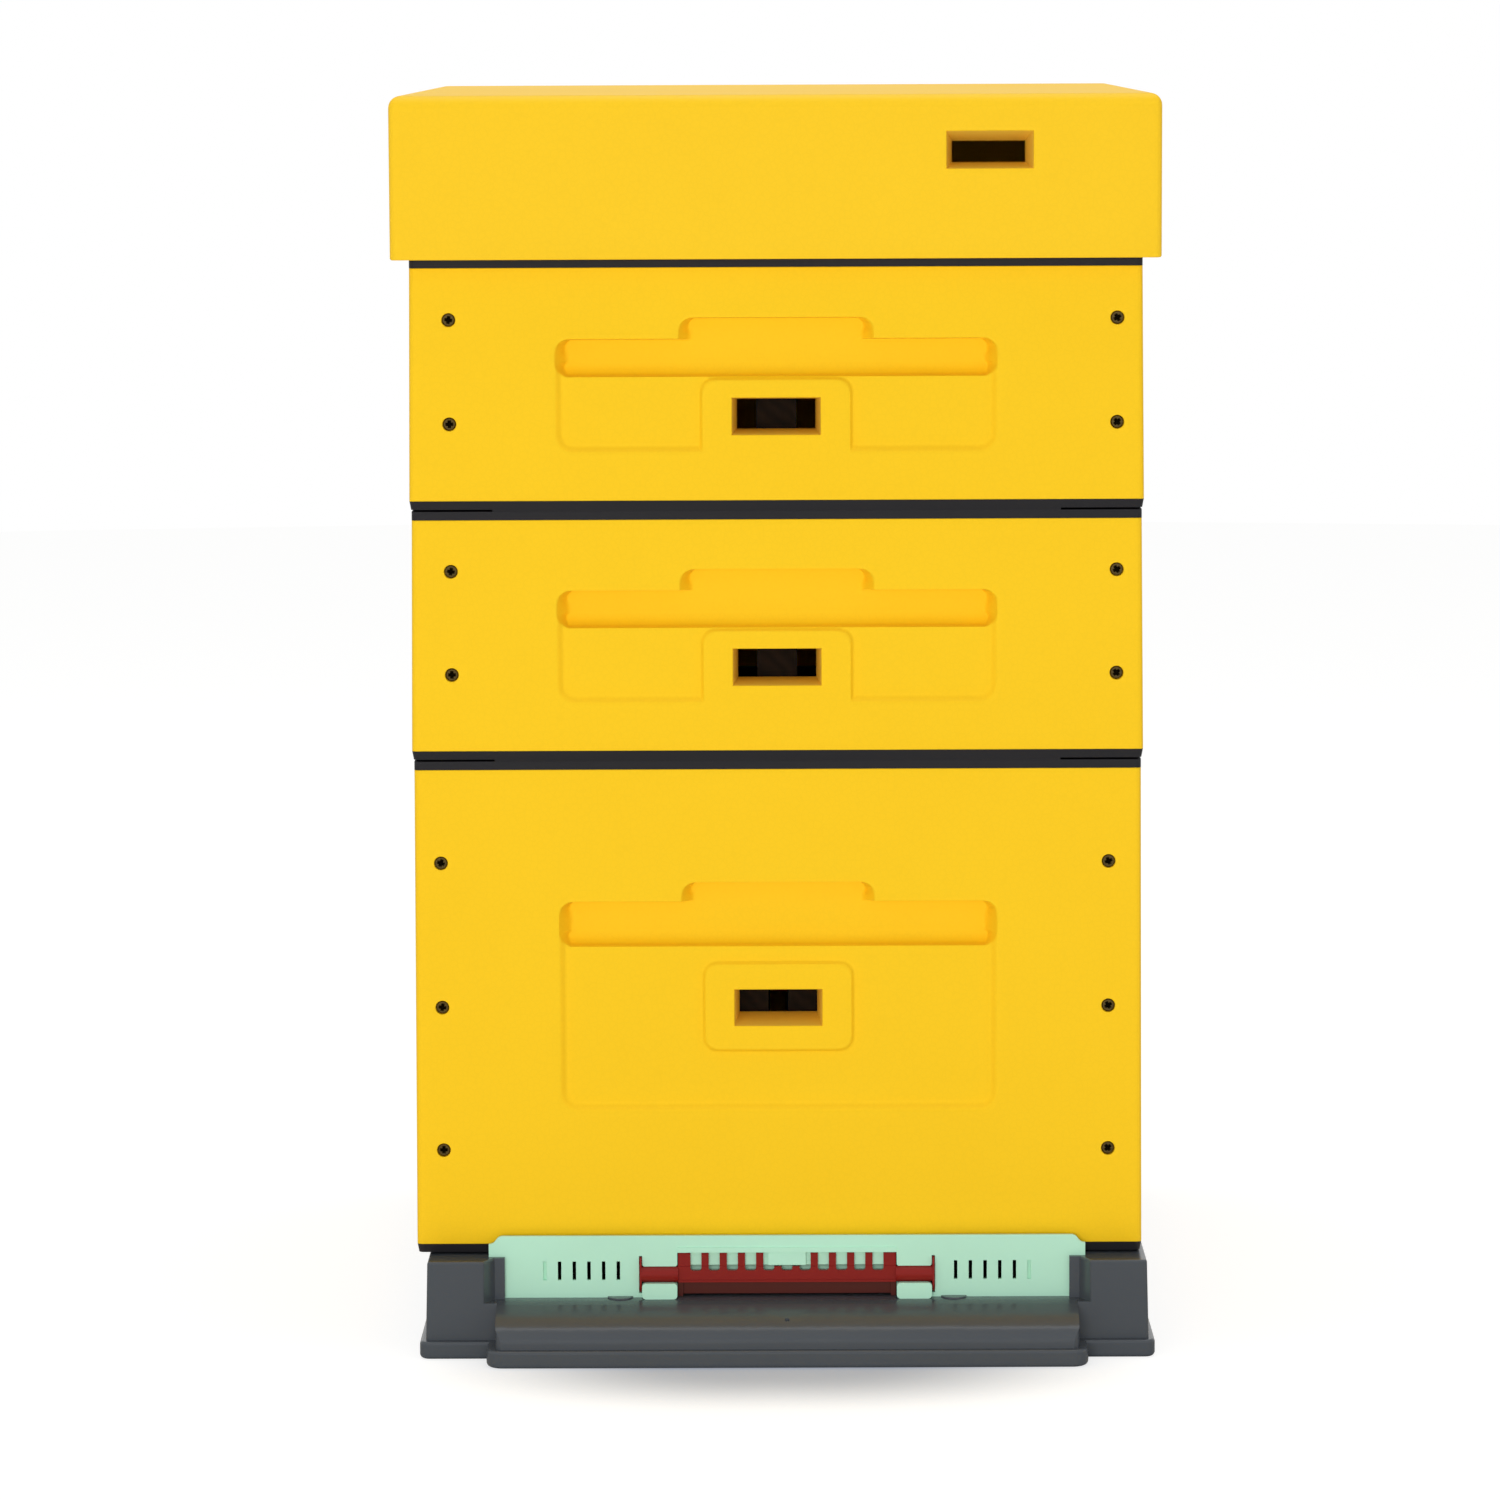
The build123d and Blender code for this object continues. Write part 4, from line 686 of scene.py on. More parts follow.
def roof_piece(sizes):
    """Roof cap: a profile of insets and heights carried round a rounded rectangle, with a vent in front."""
    low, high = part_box("roof_shell")
    half_w = (high.x - low.x) / 2
    half_l = (high.y - low.y) / 2
    centre_y = (high.y + low.y) / 2
    core = half_w - ROOF_CORNER
    vent_z = high.z - sizes.vent_drop
    throat_z = vent_z - sizes.throat_drop
    mouth_w = sizes.vent_w / 2 + MOUTH_EDGE
    mouth_h = sizes.vent_h / 2 + MOUTH_EDGE
    vent_us = [sizes.vent_x - mouth_w, sizes.vent_x + mouth_w]
    vent_vs = [vent_z - mouth_h, vent_z + mouth_h]
    wall_ends = [low.z + ROOF_LIP, high.z - sizes.roof_edge]
    fine_x = 6.0 * MM
    fine_z = 4.0 * MM
    front_x = spaced([-core, *vent_us, core], [(*vent_us, fine_x)], coarse=40.0 * MM)
    wall_z = spaced([*wall_ends, *vent_vs], [(*vent_vs, fine_z)], coarse=20.0 * MM)[::-1]
    i0, i1 = (nearest(front_x, u) for u in vent_us)
    j1, j0 = (nearest(wall_z, v) for v in vent_vs)

    sines, falls = quarter(9)
    lip_sines, lip_falls = quarter(4)
    inset = np.concatenate([[sizes.roof_edge + ROOF_FLAT], sizes.roof_edge * (1 - sines),
                            np.zeros(len(wall_z) - 1), ROOF_LIP * lip_falls[1:]])
    height = np.concatenate([[high.z], high.z - sizes.roof_edge * falls, wall_z[1:],
                             low.z + ROOF_LIP - ROOF_LIP * lip_sines[1:]])
    corner = np.maximum(ROOF_CORNER - inset, ROOF_LEAST)
    outer = roof_columns(front_x, core)
    skin = ring_points(outer, half_w - inset, half_l - inset, corner, centre_y, height)

    inner_core = core - sizes.roof_wall
    throat_us = [sizes.vent_x - sizes.throat_w / 2, sizes.vent_x + sizes.throat_w / 2]
    inner_x = np.interp(front_x, [-core, *vent_us, core], [-inner_core, *throat_us, inner_core])
    inner = roof_columns(inner_x, inner_core)
    inner_z = throat_z + (wall_z[j0:j1 + 1][::-1] - vent_z) * (sizes.throat_h / 2) / mouth_h
    inner_z = np.concatenate([[low.z], inner_z, [high.z - sizes.roof_top]])
    lining = ring_points(inner, half_w - sizes.roof_wall, half_l - sizes.roof_wall,
                         np.full(len(inner_z), ROOF_CORNER), centre_y, inner_z)

    grid = np.concatenate([skin, lining], axis=1)
    keep = np.ones((grid.shape[0], grid.shape[1] - 1), bool)
    wall_row = len(sines)
    lining_row = skin.shape[1] + 1
    keep[i0:i1, wall_row + j0:wall_row + j1] = False
    keep[i0:i1, lining_row:lining_row + j1 - j0] = False
    shell = Shell()
    shell.patch(grid, wrap_columns=True, keep=keep)
    shell.cap(grid[:, 0])
    shell.cap(grid[:, -1])

    front = skin[:len(front_x), wall_row:wall_row + len(wall_z)]
    rim = loop_round(front, i0, i1, j0, j1)
    middle = np.array((sizes.vent_x, 0.0, vent_z))
    inside = np.array((sizes.vent_x, centre_y - half_l + sizes.roof_wall, throat_z))
    mouth = middle + (rim - middle) * (sizes.vent_w / 2 / mouth_w, 1.0, sizes.vent_h / 2 / mouth_h)
    throat = inside + (rim - middle) * (sizes.throat_w / 2 / mouth_w, 0.0, sizes.throat_h / 2 / mouth_h)
    add_opening(shell, rim, mouth, throat, np.array((0.0, 1.0, 0.0)))
    return shell.piece("roof_shell_foam")


def plug_piece():
    """Feed plug: a turned profile whose knob is fluted by a cosine with one wave for each flute."""
    low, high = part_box("feed_plug")
    centre_x = (low.x + high.x) / 2
    centre_y = (low.y + high.y) / 2
    cap = (high.x - low.x) / 2
    stem = cap - PLUG_OVERLAP
    knob = KNOB_R
    soft = PLUG_EDGE
    foot = low.z
    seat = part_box("crown_board")[1].z
    brim = seat + BRIM_H
    dish = brim - DISH_DEPTH
    crown = high.z
    profile = np.array([(0, foot), (stem - 2 * soft, foot), (stem - soft, foot + 0.3 * soft),
                        (stem, foot + 1.5 * soft), (stem, seat), (cap - soft, seat),
                        (cap - 0.3 * soft, seat + 0.3 * soft), (cap, seat + soft), (cap, brim - soft),
                        (cap - 0.3 * soft, brim - 0.3 * soft), (cap - soft, brim), (cap - 6 * MM, brim),
                        (cap - 7 * MM, dish), (knob + 5 * MM, dish), (knob + 2 * MM, brim),
                        (knob + soft, brim + soft), (knob, brim + 2 * MM), (knob, crown - 3 * MM),
                        (knob - 0.5 * MM, crown - 1.5 * MM), (knob - 1.5 * MM, crown - 0.5 * MM),
                        (knob - 3 * MM, crown), (0, crown)])
    angle = round_turn(96)[:, None]
    out, rise = profile.T
    grip = np.clip((rise - brim - soft) / (2 * MM), 0.0, 1.0) * np.clip((out / knob - 0.6) / 0.2, 0.0, 1.0)
    out = out - FLUTE_DEPTH * grip * (1 + np.cos(FLUTES * angle)) / 2
    grid = np.stack([centre_x + out * np.cos(angle), centre_y + out * np.sin(angle),
                     np.broadcast_to(rise, out.shape)], axis=-1)
    shell = Shell()
    shell.patch(grid, wrap_columns=True)
    return shell.piece("feed_plug_turned")


def ground_piece():
    """Studio floor: a flat disc of rings round the hive's middle."""
    turn, far = np.meshgrid(round_turn(64), np.linspace(0.0, STUDIO_R, 13), indexing="ij")
    grid = np.stack([far * np.cos(turn), far * np.sin(turn), np.zeros_like(far)], axis=-1)
    shell = Shell()
    shell.patch(grid, wrap_columns=True)
    return shell.piece("studio_floor")


# Materials
def feed(tree, node, sockets):
    """Give a node's sockets their values, or links where the source is a socket or a node.

    A node stands for its first output in use.
    """
    for socket, source in sockets.items():
        if isinstance(source, bpy.types.Node):
            source = next(output for output in source.outputs if output.enabled)
        if isinstance(source, bpy.types.NodeSocket):
            tree.links.new(source, node.inputs[socket])
        else:
            node.inputs[socket].default_value = source


def add_node(tree, kind, sockets=None, **settings):
    """Add a node with its settings, socket values and links."""
    node = tree.nodes.new("ShaderNode" + kind)
    for name, value in settings.items():
        setattr(node, name, value)
    feed(tree, node, sockets or {})
    return node


def empty_tree(holder):
    """Node tree of a new material or world, without the nodes that it comes with."""
    holder.use_nodes = True
    holder.node_tree.nodes.clear()
    return holder.node_tree


def start_material(name, plain):
    """A new material with one Principled shader, whose plain sockets are set, and object coordinates."""
    material = bpy.data.materials.new(name)
    tree = empty_tree(material)
    shader = add_node(tree, "BsdfPrincipled", plain)
    add_node(tree, "OutputMaterial", {"Surface": shader})
    coords = add_node(tree, "TexCoord").outputs["Object"]
    return material, tree, shader, coords


def shade(rgb, factor=1.0):
    """A colour made lighter or darker, as a socket value."""
    return (*(min(1.0, channel * factor) for channel in rgb), 1.0)


def tint_recesses(tree, coat, recess_colour):
    """The coat's colour, giving way to a second colour on faces by their recess tint share: a paler yellow
    inside the slots and the vent, and painted shade in the screws' cross recesses.
    """
    recess_tint = add_node(tree, "Attribute", attribute_name="recess_tint").outputs["Fac"]
    return add_node(tree, "Mix", {"Factor": recess_tint, "A": coat, "B": recess_colour}, data_type="RGBA")


def apply_finish(tree, shader, base, pattern, rough, relief=None, sunk=False):
    """Lead to the shader a colour, a roughness that follows a pattern between two values, and a bump."""
    least, most = rough
    spread = add_node(tree, "MapRange", {"Value": pattern, "To Min": least, "To Max": most})
    feed(tree, shader, {"Base Color": base, "Roughness": spread})
    if relief:
        feed(tree, shader, {"Normal": add_node(tree, "Bump", relief, invert=sunk)})


def painted_polystyrene(colours, sizes, gloss):
    """Expanded polystyrene moulded from foamed beads and painted.

    A soft matt yellow: faint outlines of beads, a fine orange peel of paint, cloudy shifts of tone and a
    paler yellow inside the slots and the vent.
    """
    material, tree, shader, coords = start_material("painted_expanded_polystyrene",
                                                    {"IOR": 1.46, "Specular IOR Level": gloss})
    red, green, blue = colours.yellow
    pale = shade((red, 1.01 * green, 1.2 * blue), 1.01)
    cloud = add_node(tree, "TexNoise", {"Vector": coords, "Scale": 1 / (111 * MM), "Detail": 3.0})
    tone = add_node(tree, "Mix", {"Factor": cloud, "A": shade(colours.yellow, 0.98), "B": pale},
                    data_type="RGBA")
    beads = add_node(tree, "TexVoronoi", {"Vector": coords, "Scale": 1 / sizes.bead},
                     feature="DISTANCE_TO_EDGE")
    seam = add_node(tree, "MapRange", {"Value": beads, "From Max": 0.12, "To Min": 0.98})
    coat = tint_recesses(tree, tone, shade(colours.recess_tint))
    base = add_node(tree, "Mix", {"Factor": 1.0, "A": coat, "B": seam}, data_type="RGBA",
                    blend_type="MULTIPLY")
    peel = add_node(tree, "TexNoise", {"Vector": coords, "Scale": 1 / (1.6 * MM), "Detail": 2.0})
    fine = add_node(tree, "Bump", {"Height": peel, "Strength": 0.12, "Distance": 0.1 * MM})
    apply_finish(tree, shader, base, cloud, (0.46, 0.6),
                 {"Height": seam, "Strength": 0.1, "Distance": 0.25 * MM, "Normal": fine})
    return material


def moulded_plastic(name, rgb, roughness, grit_mm, streak=(1.0, 1.0, 1.0), drift=0.06, gloss=0.5):
    """Injection-moulded polypropylene: an even colour with slight flow streaks, a fine spark-eroded
    grain and a satin gloss that is smoother where the part is handled."""
    material, tree, shader, coords = start_material(name, {"IOR": 1.49, "Specular IOR Level": gloss})
    flow = add_node(tree, "Mapping", {"Vector": coords, "Scale": streak})
    cloud = add_node(tree, "TexNoise", {"Vector": flow, "Scale": 1 / (71.5 * MM), "Detail": 4.0})
    tone = add_node(tree, "Mix", {"Factor": cloud, "A": shade(rgb, 1 - drift), "B": shade(rgb, 1 + drift)},
                    data_type="RGBA")
    grain = add_node(tree, "TexNoise", {"Vector": coords, "Scale": 1 / (grit_mm * MM), "Detail": 2.0})
    apply_finish(tree, shader, tone, cloud, (roughness - 0.06, roughness + 0.06),
                 {"Height": grain, "Strength": 0.15, "Distance": 0.05 * MM})
    return material


def passivated_screw(colours):
    """Zinc-plated steel, yellow passivated and dulled: olive bronze and cloudy tarnish, with the cross recess
    painted near black as painted shade.
    """
    material, tree, shader, coords = start_material("passivated_steel", {"Metallic": 1.0})
    # The near-black third colour is painted shade for the cross recess.
    dull, bright, recess = (shade(colours.bronze, factor) for factor in (0.55, 1.15, 0.04))
    cloud = add_node(tree, "TexNoise", {"Vector": coords, "Scale": 1 / (1.5 * MM), "Detail": 4.0})
    tone = add_node(tree, "Mix", {"Factor": cloud, "A": dull, "B": bright}, data_type="RGBA")
    apply_finish(tree, shader, tint_recesses(tree, tone, recess), cloud, (0.3, 0.5))
    return material


def planed_pine(name, pale, ring, sizes):
    """Planed pine darkened by use: straight growth rings along the bar, fine fibres and a dry, matt face.

    The rings are drawn about twice as coarse as real ones, so that they show.
    """
    material, tree, shader, coords = start_material(name, {"IOR": 1.45, "Specular IOR Level": 0.2})
    along = add_node(tree, "Mapping", {"Vector": coords, "Scale": (1.0, 0.04, 1.0)})
    warp = add_node(tree, "TexNoise", {"Vector": along, "Scale": 1 / (33.3 * MM), "Detail": 2.0})
    rings = add_node(tree, "TexWave", {"Vector": along, "Scale": HALF_WAVE / sizes.ring, "Distortion": 6.0,
                                       "Detail": 2.0}, bands_direction="DIAGONAL")
    fibre = add_node(tree, "TexNoise", {"Vector": along, "Scale": 1 / (0.7 * MM), "Detail": 3.0})
    tone = add_node(tree, "Mix", {"Factor": rings.outputs["Fac"], "A": shade(pale), "B": shade(ring)},
                    data_type="RGBA")
    cloudy = add_node(tree, "MapRange", {"Value": warp, "To Min": 0.85, "To Max": 1.08})
    base = add_node(tree, "Mix", {"Factor": 1.0, "A": tone, "B": cloudy}, data_type="RGBA",
                    blend_type="MULTIPLY")
    apply_finish(tree, shader, base, fibre, (0.5, 0.7),
                 {"Height": fibre, "Strength": 0.25, "Distance": 0.1 * MM})
    return material


def embossed_beeswax(colours, sizes):
    """Rolled beeswax foundation: translucent amber, embossed with a lattice of six-sided cells.

    The lattice is the sum of three cosines whose directions lie sixty degrees apart in the sheet.
    """
    material, tree, shader, coords = start_material("embossed_beeswax",
                                                    {"IOR": 1.44, "Subsurface Weight": 0.15})
    pale, dark = (shade(colours.wax, factor) for factor in (1.08, 0.7))
    wave = 2 * math.pi / (sizes.cell * math.cos(math.pi / 6))
    total = 0.0
    for angle in (0.0, math.pi / 3, 2 * math.pi / 3):
        direction = (0.0, wave * math.cos(angle), wave * math.sin(angle))
        phase = add_node(tree, "VectorMath", {0: coords, 1: direction}, operation="DOT_PRODUCT")
        ripple = add_node(tree, "Math", {0: phase}, operation="COSINE")
        total = add_node(tree, "Math", {0: total, 1: ripple}, operation="ADD")
    cells = add_node(tree, "MapRange", {"Value": total, "From Min": -1.5, "From Max": 3.0})
    # Painted shade: the tone is darker where the cells sink.
    tone = add_node(tree, "Mix", {"Factor": cells, "A": pale, "B": dark}, data_type="RGBA")
    bloom = add_node(tree, "TexNoise", {"Vector": coords, "Scale": 1 / (25 * MM), "Detail": 4.0})
    apply_finish(tree, shader, tone, bloom, (0.35, 0.55),
                 {"Height": cells, "Strength": 0.6, "Distance": 0.6 * MM}, sunk=True)
    return material


def birch_plywood(colours):
    """Birch plywood, sanded and oiled: pale flowing grain on the faces and dark glue lines on the edges."""
    material, tree, shader, coords = start_material("birch_plywood", {"IOR": 1.45})
    dark, pale = (shade(colours.plywood, factor) for factor in (0.78, 1.18))
    along = add_node(tree, "Mapping", {"Vector": coords, "Scale": (1.0, 0.08, 1.0)})
    grain = add_node(tree, "TexNoise", {"Vector": along, "Scale": 1 / (11.1 * MM), "Detail": 4.0,
                                        "Distortion": 0.6})
    tone = add_node(tree, "Mix", {"Factor": grain, "A": dark, "B": pale}, data_type="RGBA")
    plies = add_node(tree, "TexWave", {"Vector": coords, "Scale": HALF_WAVE / (1.6 * MM)},
                     bands_direction="Z")
    glue = add_node(tree, "MapRange", {"Value": plies.outputs["Fac"], "To Min": 0.8, "To Max": 1.0})
    base = add_node(tree, "Mix", {"Factor": 1.0, "A": tone, "B": glue}, data_type="RGBA",
                    blend_type="MULTIPLY")
    apply_finish(tree, shader, base, grain, (0.42, 0.6),
                 {"Height": grain, "Strength": 0.15, "Distance": 0.1 * MM})
    return material


def studio_ground(colours):
    """Matt white paper: white to the camera where light falls on it, and still darkened by the hive's shadow.

    What the camera sees is a share of the paper, with its real shadow, plus a glow that is weak and cool grey
    over a patch round the hive and grows with the distance from it: a painted shadow.
    """
    material = bpy.data.materials.new("studio_paper")
    tree = empty_tree(material)
    coords = add_node(tree, "TexCoord").outputs["Object"]
    fibre = add_node(tree, "TexNoise", {"Vector": coords, "Scale": 1 / (5 * MM)})
    tone = add_node(tree, "Mix", {"Factor": fibre, "A": shade(colours.ground, 0.97),
                                  "B": shade(colours.ground)}, data_type="RGBA")
    paper = add_node(tree, "BsdfDiffuse", {"Color": tone})
    pale = add_node(tree, "MixShader", {0: PAPER_SHARE, 2: paper})
    away = add_node(tree, "VectorMath", {0: coords}, operation="ABSOLUTE")
    for operation, other in (("SUBTRACT", SHADOW_HALF), ("MAXIMUM", (0.0, 0.0, 0.0)),
                             ("MULTIPLY", SHADOW_SQUEEZE)):
        away = add_node(tree, "VectorMath", {0: away, 1: other}, operation=operation)
    away = add_node(tree, "VectorMath", {0: away}, operation="LENGTH")
    near, far = SHADOW_FADE
    lift = add_node(tree, "MapRange", {"Value": away, "From Min": near, "From Max": far},
                    interpolation_type="SMOOTHSTEP")
    # Painted shadow: the glow is dim and cool grey near the hive and pale away from it.
    added = add_node(tree, "Mix", {"Factor": lift, "A": shade(colours.painted_shadow_glow),
                                   "B": shade(colours.ground_far)}, data_type="RGBA")
    glow = add_node(tree, "Emission", {"Color": added})
    seen = add_node(tree, "AddShader", {0: pale, 1: glow})
    camera_ray = add_node(tree, "LightPath").outputs["Is Camera Ray"]
    mixed = add_node(tree, "MixShader", {0: camera_ray, 1: paper, 2: seen})
    add_node(tree, "OutputMaterial", {"Surface": mixed})
    return material


# Operators
def dress(node, material, bevel_mm=0.0):
    """Give a node of the frame its finish and, where asked, softened edges."""
    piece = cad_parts[node]
    for slot in piece.material_slots:
        slot.material = material
    if bevel_mm:
        weld = piece.modifiers.new("weld", "WELD")
        weld.merge_threshold = NODE_WELD
        bevel = piece.modifiers.new("soft edges", "BEVEL")
        bevel.width = bevel_mm * MM
        bevel.segments = BEVEL_STEPS
        bevel.limit_method = "ANGLE"
        bevel.angle_limit = BEVEL_ANGLE
        bevel.harden_normals = False


def settle(piece, body, slot, material, *nodes):
    """Finish a new piece: its material, the body it rides on and the nodes it stands for, which it hides; the
    slot is not used.
    """
    piece.data.materials.append(material)
    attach(piece, body)
    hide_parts(*nodes)


def hive_settings(context):
    """Sizes and colours that the operators work from."""
    return context.scene.hive_sizes, context.scene.hive_colours


def box_body(box):
    """Name of the body that a box's own pieces ride on."""
    return "brood_box" if box == "brood" else box


class HIVE_OT_panels(bpy.types.Operator):
    """Form the four polystyrene panels of each box, with their scoops, fields, bosses and flight slots"""
    bl_idname = "hive.panels"
    bl_label = "Panels"

    def execute(self, context):
        sizes, colours = hive_settings(context)
        material = painted_polystyrene(colours, sizes, gloss=0.2)
        for box in BOXES:
            levels = BROOD_LEVELS if box == "brood" else SUPER_LEVELS
            for side in SIDES:
                wall = Wall(box, side)
                piece = panel_piece(wall, sizes, levels)
                settle(piece, box_body(box), "polystyrene_yellow", material, wall.node)
        return {"FINISHED"}


class HIVE_OT_roof(bpy.types.Operator):
    """Form the roof cap with its vent"""
    bl_idname = "hive.roof"
    bl_label = "Roof"

    def execute(self, context):
        sizes, colours = hive_settings(context)
        material = painted_polystyrene(colours, sizes, gloss=0.3)
        settle(roof_piece(sizes), "roof", "polystyrene_yellow", material, "roof_shell")
        return {"FINISHED"}


class HIVE_OT_rims(bpy.types.Operator):
    """Finish the moulded rims of the boxes"""
    bl_idname = "hive.rims"
    bl_label = "Rims"

    def execute(self, context):
        colours = context.scene.hive_colours
        material = moulded_plastic("satin_black_polypropylene", colours.rim, roughness=0.42, grit_mm=0.6,
                                   streak=(0.5, 0.5, 6.0), drift=0.2, gloss=0.25)
        for box in BOXES:
            dress(f"{box}_top_rim", material, bevel_mm=0.4)
            dress(f"{box}_bottom_rim", material, bevel_mm=0.4)
        return {"FINISHED"}


class HIVE_OT_screws(bpy.types.Operator):
    """Form the corner screws with their cross recesses"""
    bl_idname = "hive.screws"
    bl_label = "Screws"

    def execute(self, context):
        sizes, colours = hive_settings(context)
        material = passivated_screw(colours)
        for box in BOXES:
            settle(screw_piece(box, sizes), box_body(box), "screw_bronze", material, f"{box}_screws")
        return {"FINISHED"}


class HIVE_OT_floor(bpy.types.Operator):
    """Finish the floor moulding, its mesh and the inspection tray"""
    bl_idname = "hive.floor"
    bl_label = "Floor"

    def execute(self, context):
        colours = context.scene.hive_colours
        grey = moulded_plastic("glossy_grey_polypropylene", colours.grey, roughness=0.24, grit_mm=0.8,
                               gloss=0.3)
        dress("floor_moulding", grey)
        black = moulded_plastic("black_mesh_polypropylene", colours.mesh, roughness=0.45, grit_mm=0.6)
        dress("floor_mesh", black)
        white = moulded_plastic("white_sheet_polystyrene", colours.tray, roughness=0.4, grit_mm=1.0)
        dress("inspection_tray", white, bevel_mm=0.4)
        return {"FINISHED"}


class HIVE_OT_entrance(bpy.types.Operator):
    """Finish the entrance reducer, its mouse guard and its shutter"""
    bl_idname = "hive.entrance"
    bl_label = "Entrance"

    def execute(self, context):
        colours = context.scene.hive_colours
        mint = moulded_plastic("mint_polypropylene", colours.mint, roughness=0.34, grit_mm=0.6)
        red = moulded_plastic("red_polypropylene", colours.red, roughness=0.38, grit_mm=0.6, gloss=0.25)
        # The shutter takes a darker copy of the red plastic: painted shade.
        dark = moulded_plastic("red_polypropylene_painted_shade", colours.shutter_shaded, roughness=0.38, grit_mm=0.6,
                               gloss=0.25)
        for node, material in (("entrance_reducer", mint), ("mouse_guard", red), ("entrance_shutter", dark)):
            dress(node, material, bevel_mm=0.3)
        return {"FINISHED"}


class HIVE_OT_frames(bpy.types.Operator):
    """Finish the hanging frames and their wax sheets"""
    bl_idname = "hive.frames"
    bl_label = "Frames"

    def execute(self, context):
        sizes, colours = hive_settings(context)
        browned = planed_pine("planed_pine_browned", colours.pine, colours.pine_ring, sizes)
        # End bars: a pine darkened by stain and by painted shade.
        stain_and_shade = planed_pine("planed_pine_stain_and_shade", colours.stain_and_shade, colours.stain_and_shade_ring, sizes)
        wax = embossed_beeswax(colours, sizes)
        for box in BOXES:
            for bars, pine in (("top_bars", browned), ("end_bars", stain_and_shade), ("bottom_bars", browned)):
                dress(f"{box}_frame_{bars}", pine, bevel_mm=0.6)
            dress(f"{box}_foundation", wax)
        return {"FINISHED"}


class HIVE_OT_crown(bpy.types.Operator):
    """Finish the crown board and form the feed plug"""
    bl_idname = "hive.crown"
    bl_label = "Crown board"

    def execute(self, context):
        colours = context.scene.hive_colours
        dress("crown_board", birch_plywood(colours), bevel_mm=0.5)
        grey = moulded_plastic("grey_plug_polypropylene", colours.plug, roughness=0.4, grit_mm=0.7)
        settle(plug_piece(), "feed_plug", "plug_grey_plastic", grey, "feed_plug")
        return {"FINISHED"}


class HIVE_OT_stage(bpy.types.Operator):
    """Set up the floor, the soft lights and the camera"""
    bl_idname = "hive.stage"
    bl_label = "Stage"

    def execute(self, context):
        scene = context.scene
        stage = scene.hive_stage
        ground = ground_piece()
        ground.data.materials.append(studio_ground(scene.hive_colours))
        key = add_lamp("key_light", stage.key_power, *KEY_LAMP)
        key.visible_glossy = False
        add_lamp("top_light", stage.top_power, *TOP_LAMP)
        light_world(scene, stage.ambient)
        add_camera(scene, stage)
        scene.view_settings.view_transform = "Standard"
        return {"FINISHED"}


def axes_matrix(right, up, back, place):
    """Matrix whose columns are three axes and a place."""
    matrix = Matrix.Identity(4)
    for column, axis in enumerate((right, up, back, place)):
        for row in range(3):
            matrix[row][column] = axis[row]
    return matrix


def aim(place, target):
    """Matrix of a lamp at a place whose light falls towards a target."""
    place = np.array(place)
    back = place - np.array(target)
    back = back / np.linalg.norm(back)
    right = np.cross((0.0, 1.0, 0.0) if abs(back[2]) > STEEP else (0.0, 0.0, 1.0), back)
    right = right / np.linalg.norm(right)
    return axes_matrix(right, np.cross(back, right), back, place)


def add_lamp(name, power, size, place, target):
    """Add a large soft square lamp."""
    lamp = bpy.data.lights.new(name, "AREA")
    lamp.energy = power
    lamp.size = size
    holder = bpy.data.objects.new(name, lamp)
    bpy.context.scene.collection.objects.link(holder)
    holder.matrix_world = aim(place, target)
    return holder


def light_world(scene, ambient):
    """Even light all round, seen as white by the camera, in gloss and through what is clear."""
    world = bpy.data.worlds.new("studio")
    tree = empty_tree(world)
    rays = add_node(tree, "LightPath").outputs
    shown = rays["Is Camera Ray"]
    for ray in ("Is Glossy Ray", "Is Transmission Ray"):
        shown = add_node(tree, "Math", {0: shown, 1: rays[ray]}, operation="MAXIMUM")
    even = add_node(tree, "Background", {"Color": WHITE, "Strength": ambient})
    white = add_node(tree, "Background", {"Color": WHITE, "Strength": 1.0})
    mixed = add_node(tree, "MixShader", {0: shown, 1: even, 2: white})
    add_node(tree, "OutputWorld", {"Surface": mixed})
    scene.world = world


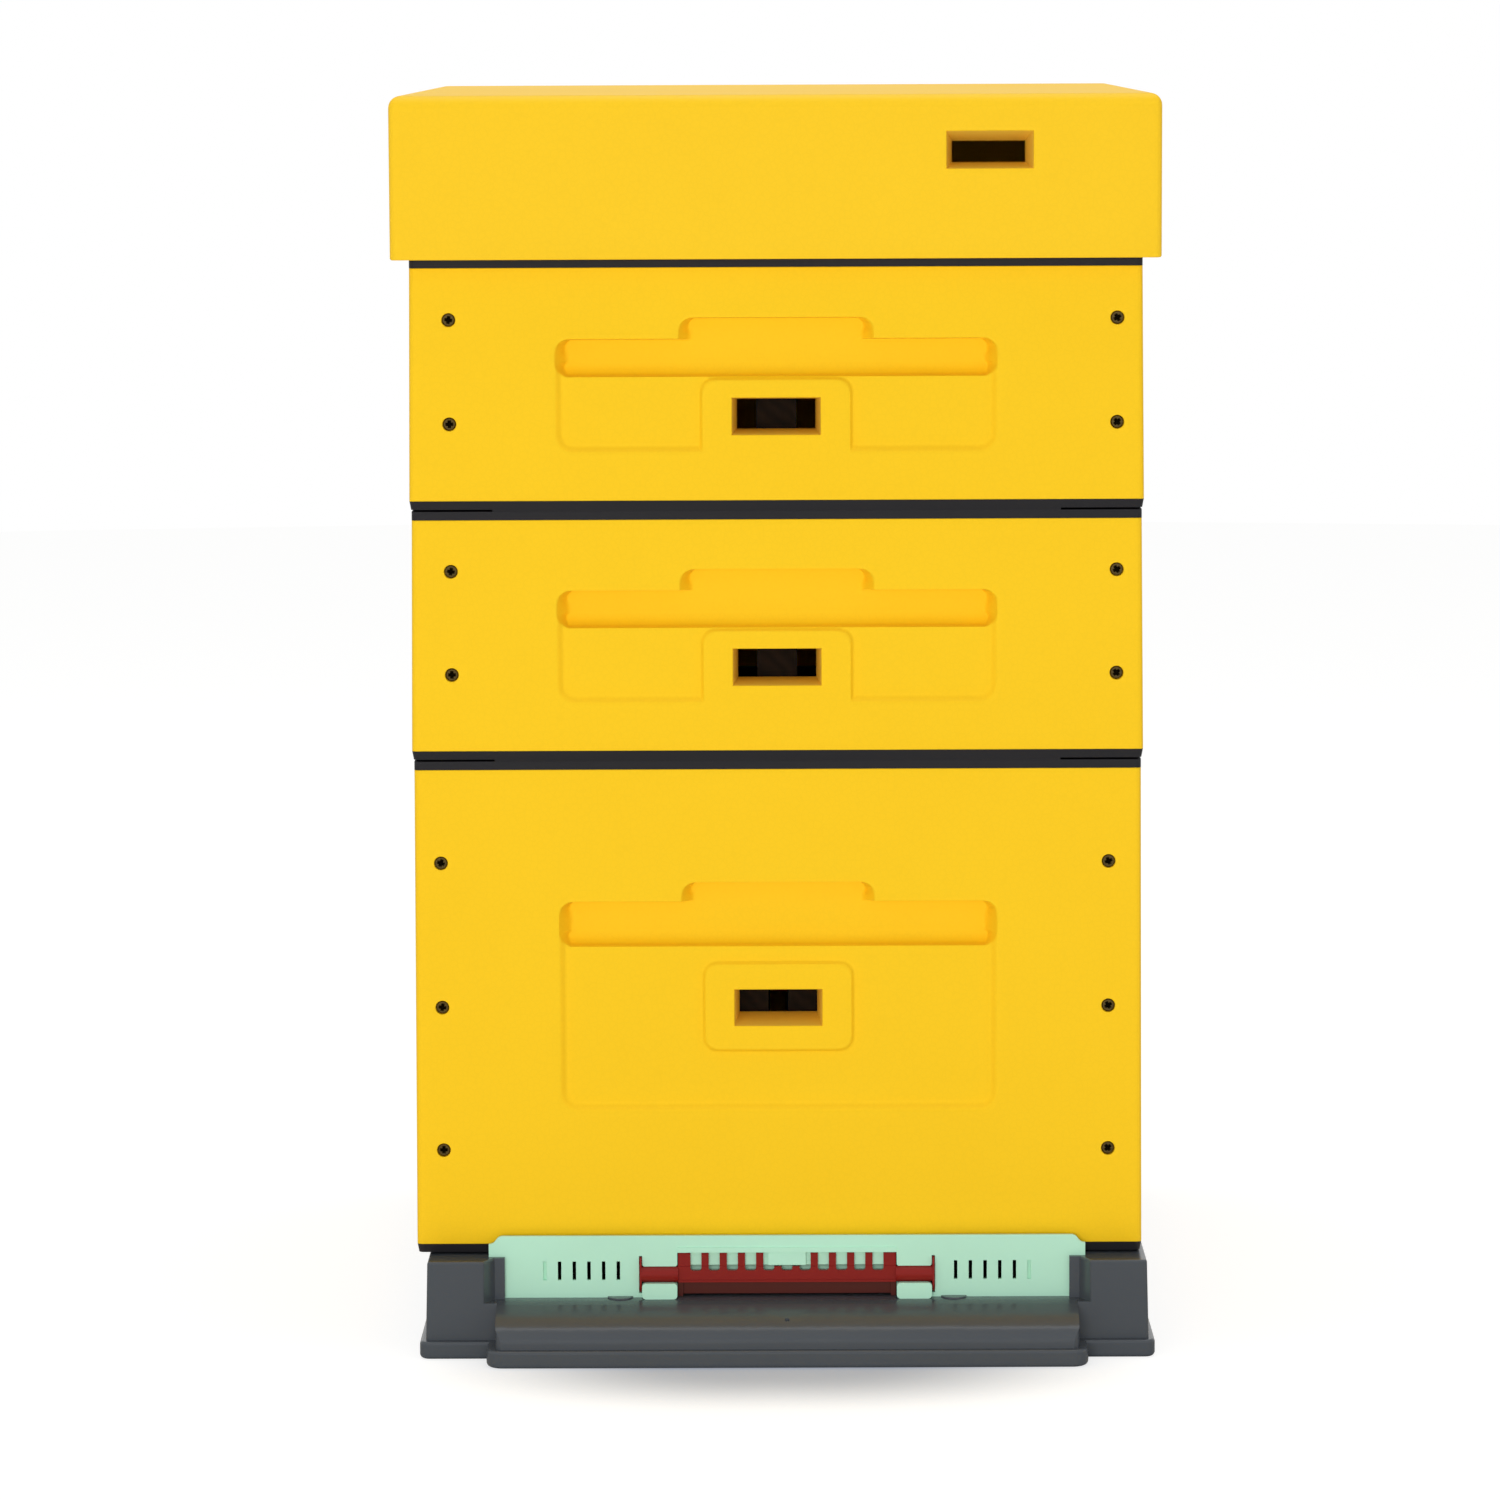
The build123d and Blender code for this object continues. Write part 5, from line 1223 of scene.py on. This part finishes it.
def add_camera(scene, stage):
    """Camera turned by yaw, then down by pitch, then rolled about its line of sight."""
    flat = math.cos(stage.pitch)
    ahead = np.array((math.sin(stage.yaw) * flat, math.cos(stage.yaw) * flat, -math.sin(stage.pitch)))
    level = np.array((math.cos(stage.yaw), -math.sin(stage.yaw), 0.0))
    above = np.cross(level, ahead)
    right = math.cos(stage.roll) * level + math.sin(stage.roll) * above
    up = math.cos(stage.roll) * above - math.sin(stage.roll) * level
    camera = bpy.data.cameras.new("camera")
    camera.lens = stage.lens
    camera.sensor_width = SENSOR_W
    camera.clip_end = SIGHT
    holder = bpy.data.objects.new("camera", camera)
    scene.collection.objects.link(holder)
    holder.matrix_world = axes_matrix(right, up, -ahead, tuple(stage.camera_place))
    scene.camera = holder


OPERATORS = (HIVE_OT_panels, HIVE_OT_roof, HIVE_OT_rims, HIVE_OT_screws, HIVE_OT_floor, HIVE_OT_entrance,
             HIVE_OT_frames, HIVE_OT_crown, HIVE_OT_stage)


class HIVE_PT_sidebar(bpy.types.Panel):
    """Lists the hive's operators, colours, sizes and stage"""
    bl_idname = "HIVE_PT_sidebar"
    bl_label = "Beehive"
    bl_space_type = "VIEW_3D"
    bl_region_type = "UI"
    bl_category = "Beehive"

    def draw(self, context):
        for operator in OPERATORS:
            self.layout.operator(operator.bl_idname)
        for group in (context.scene.hive_colours, context.scene.hive_sizes, context.scene.hive_stage):
            for name in group.bl_rna.properties.keys():
                if name not in ("rna_type", "name"):
                    self.layout.prop(group, name)


GROUPS = dict(hive_sizes=HiveSizes, hive_colours=HiveColours, hive_stage=HiveStage)


def register():
    """Add the settings, the operators and the sidebar to Blender."""
    for kind in (*GROUPS.values(), *OPERATORS, HIVE_PT_sidebar):
        bpy.utils.register_class(kind)
    for name, kind in GROUPS.items():
        setattr(bpy.types.Scene, name, PointerProperty(type=kind))


def unregister():
    """Take them out again."""
    for name in GROUPS:
        delattr(bpy.types.Scene, name)
    for kind in (HIVE_PT_sidebar, *OPERATORS, *GROUPS.values()):
        bpy.utils.unregister_class(kind)


def main():
    """Register the add-on, form and finish every piece, and set the stage."""
    register()
    bpy.ops.hive.panels()
    bpy.ops.hive.roof()
    bpy.ops.hive.rims()
    bpy.ops.hive.screws()
    bpy.ops.hive.floor()
    bpy.ops.hive.entrance()
    bpy.ops.hive.frames()
    bpy.ops.hive.crown()
    bpy.ops.hive.stage()


if __name__ == "__main__":
    main()
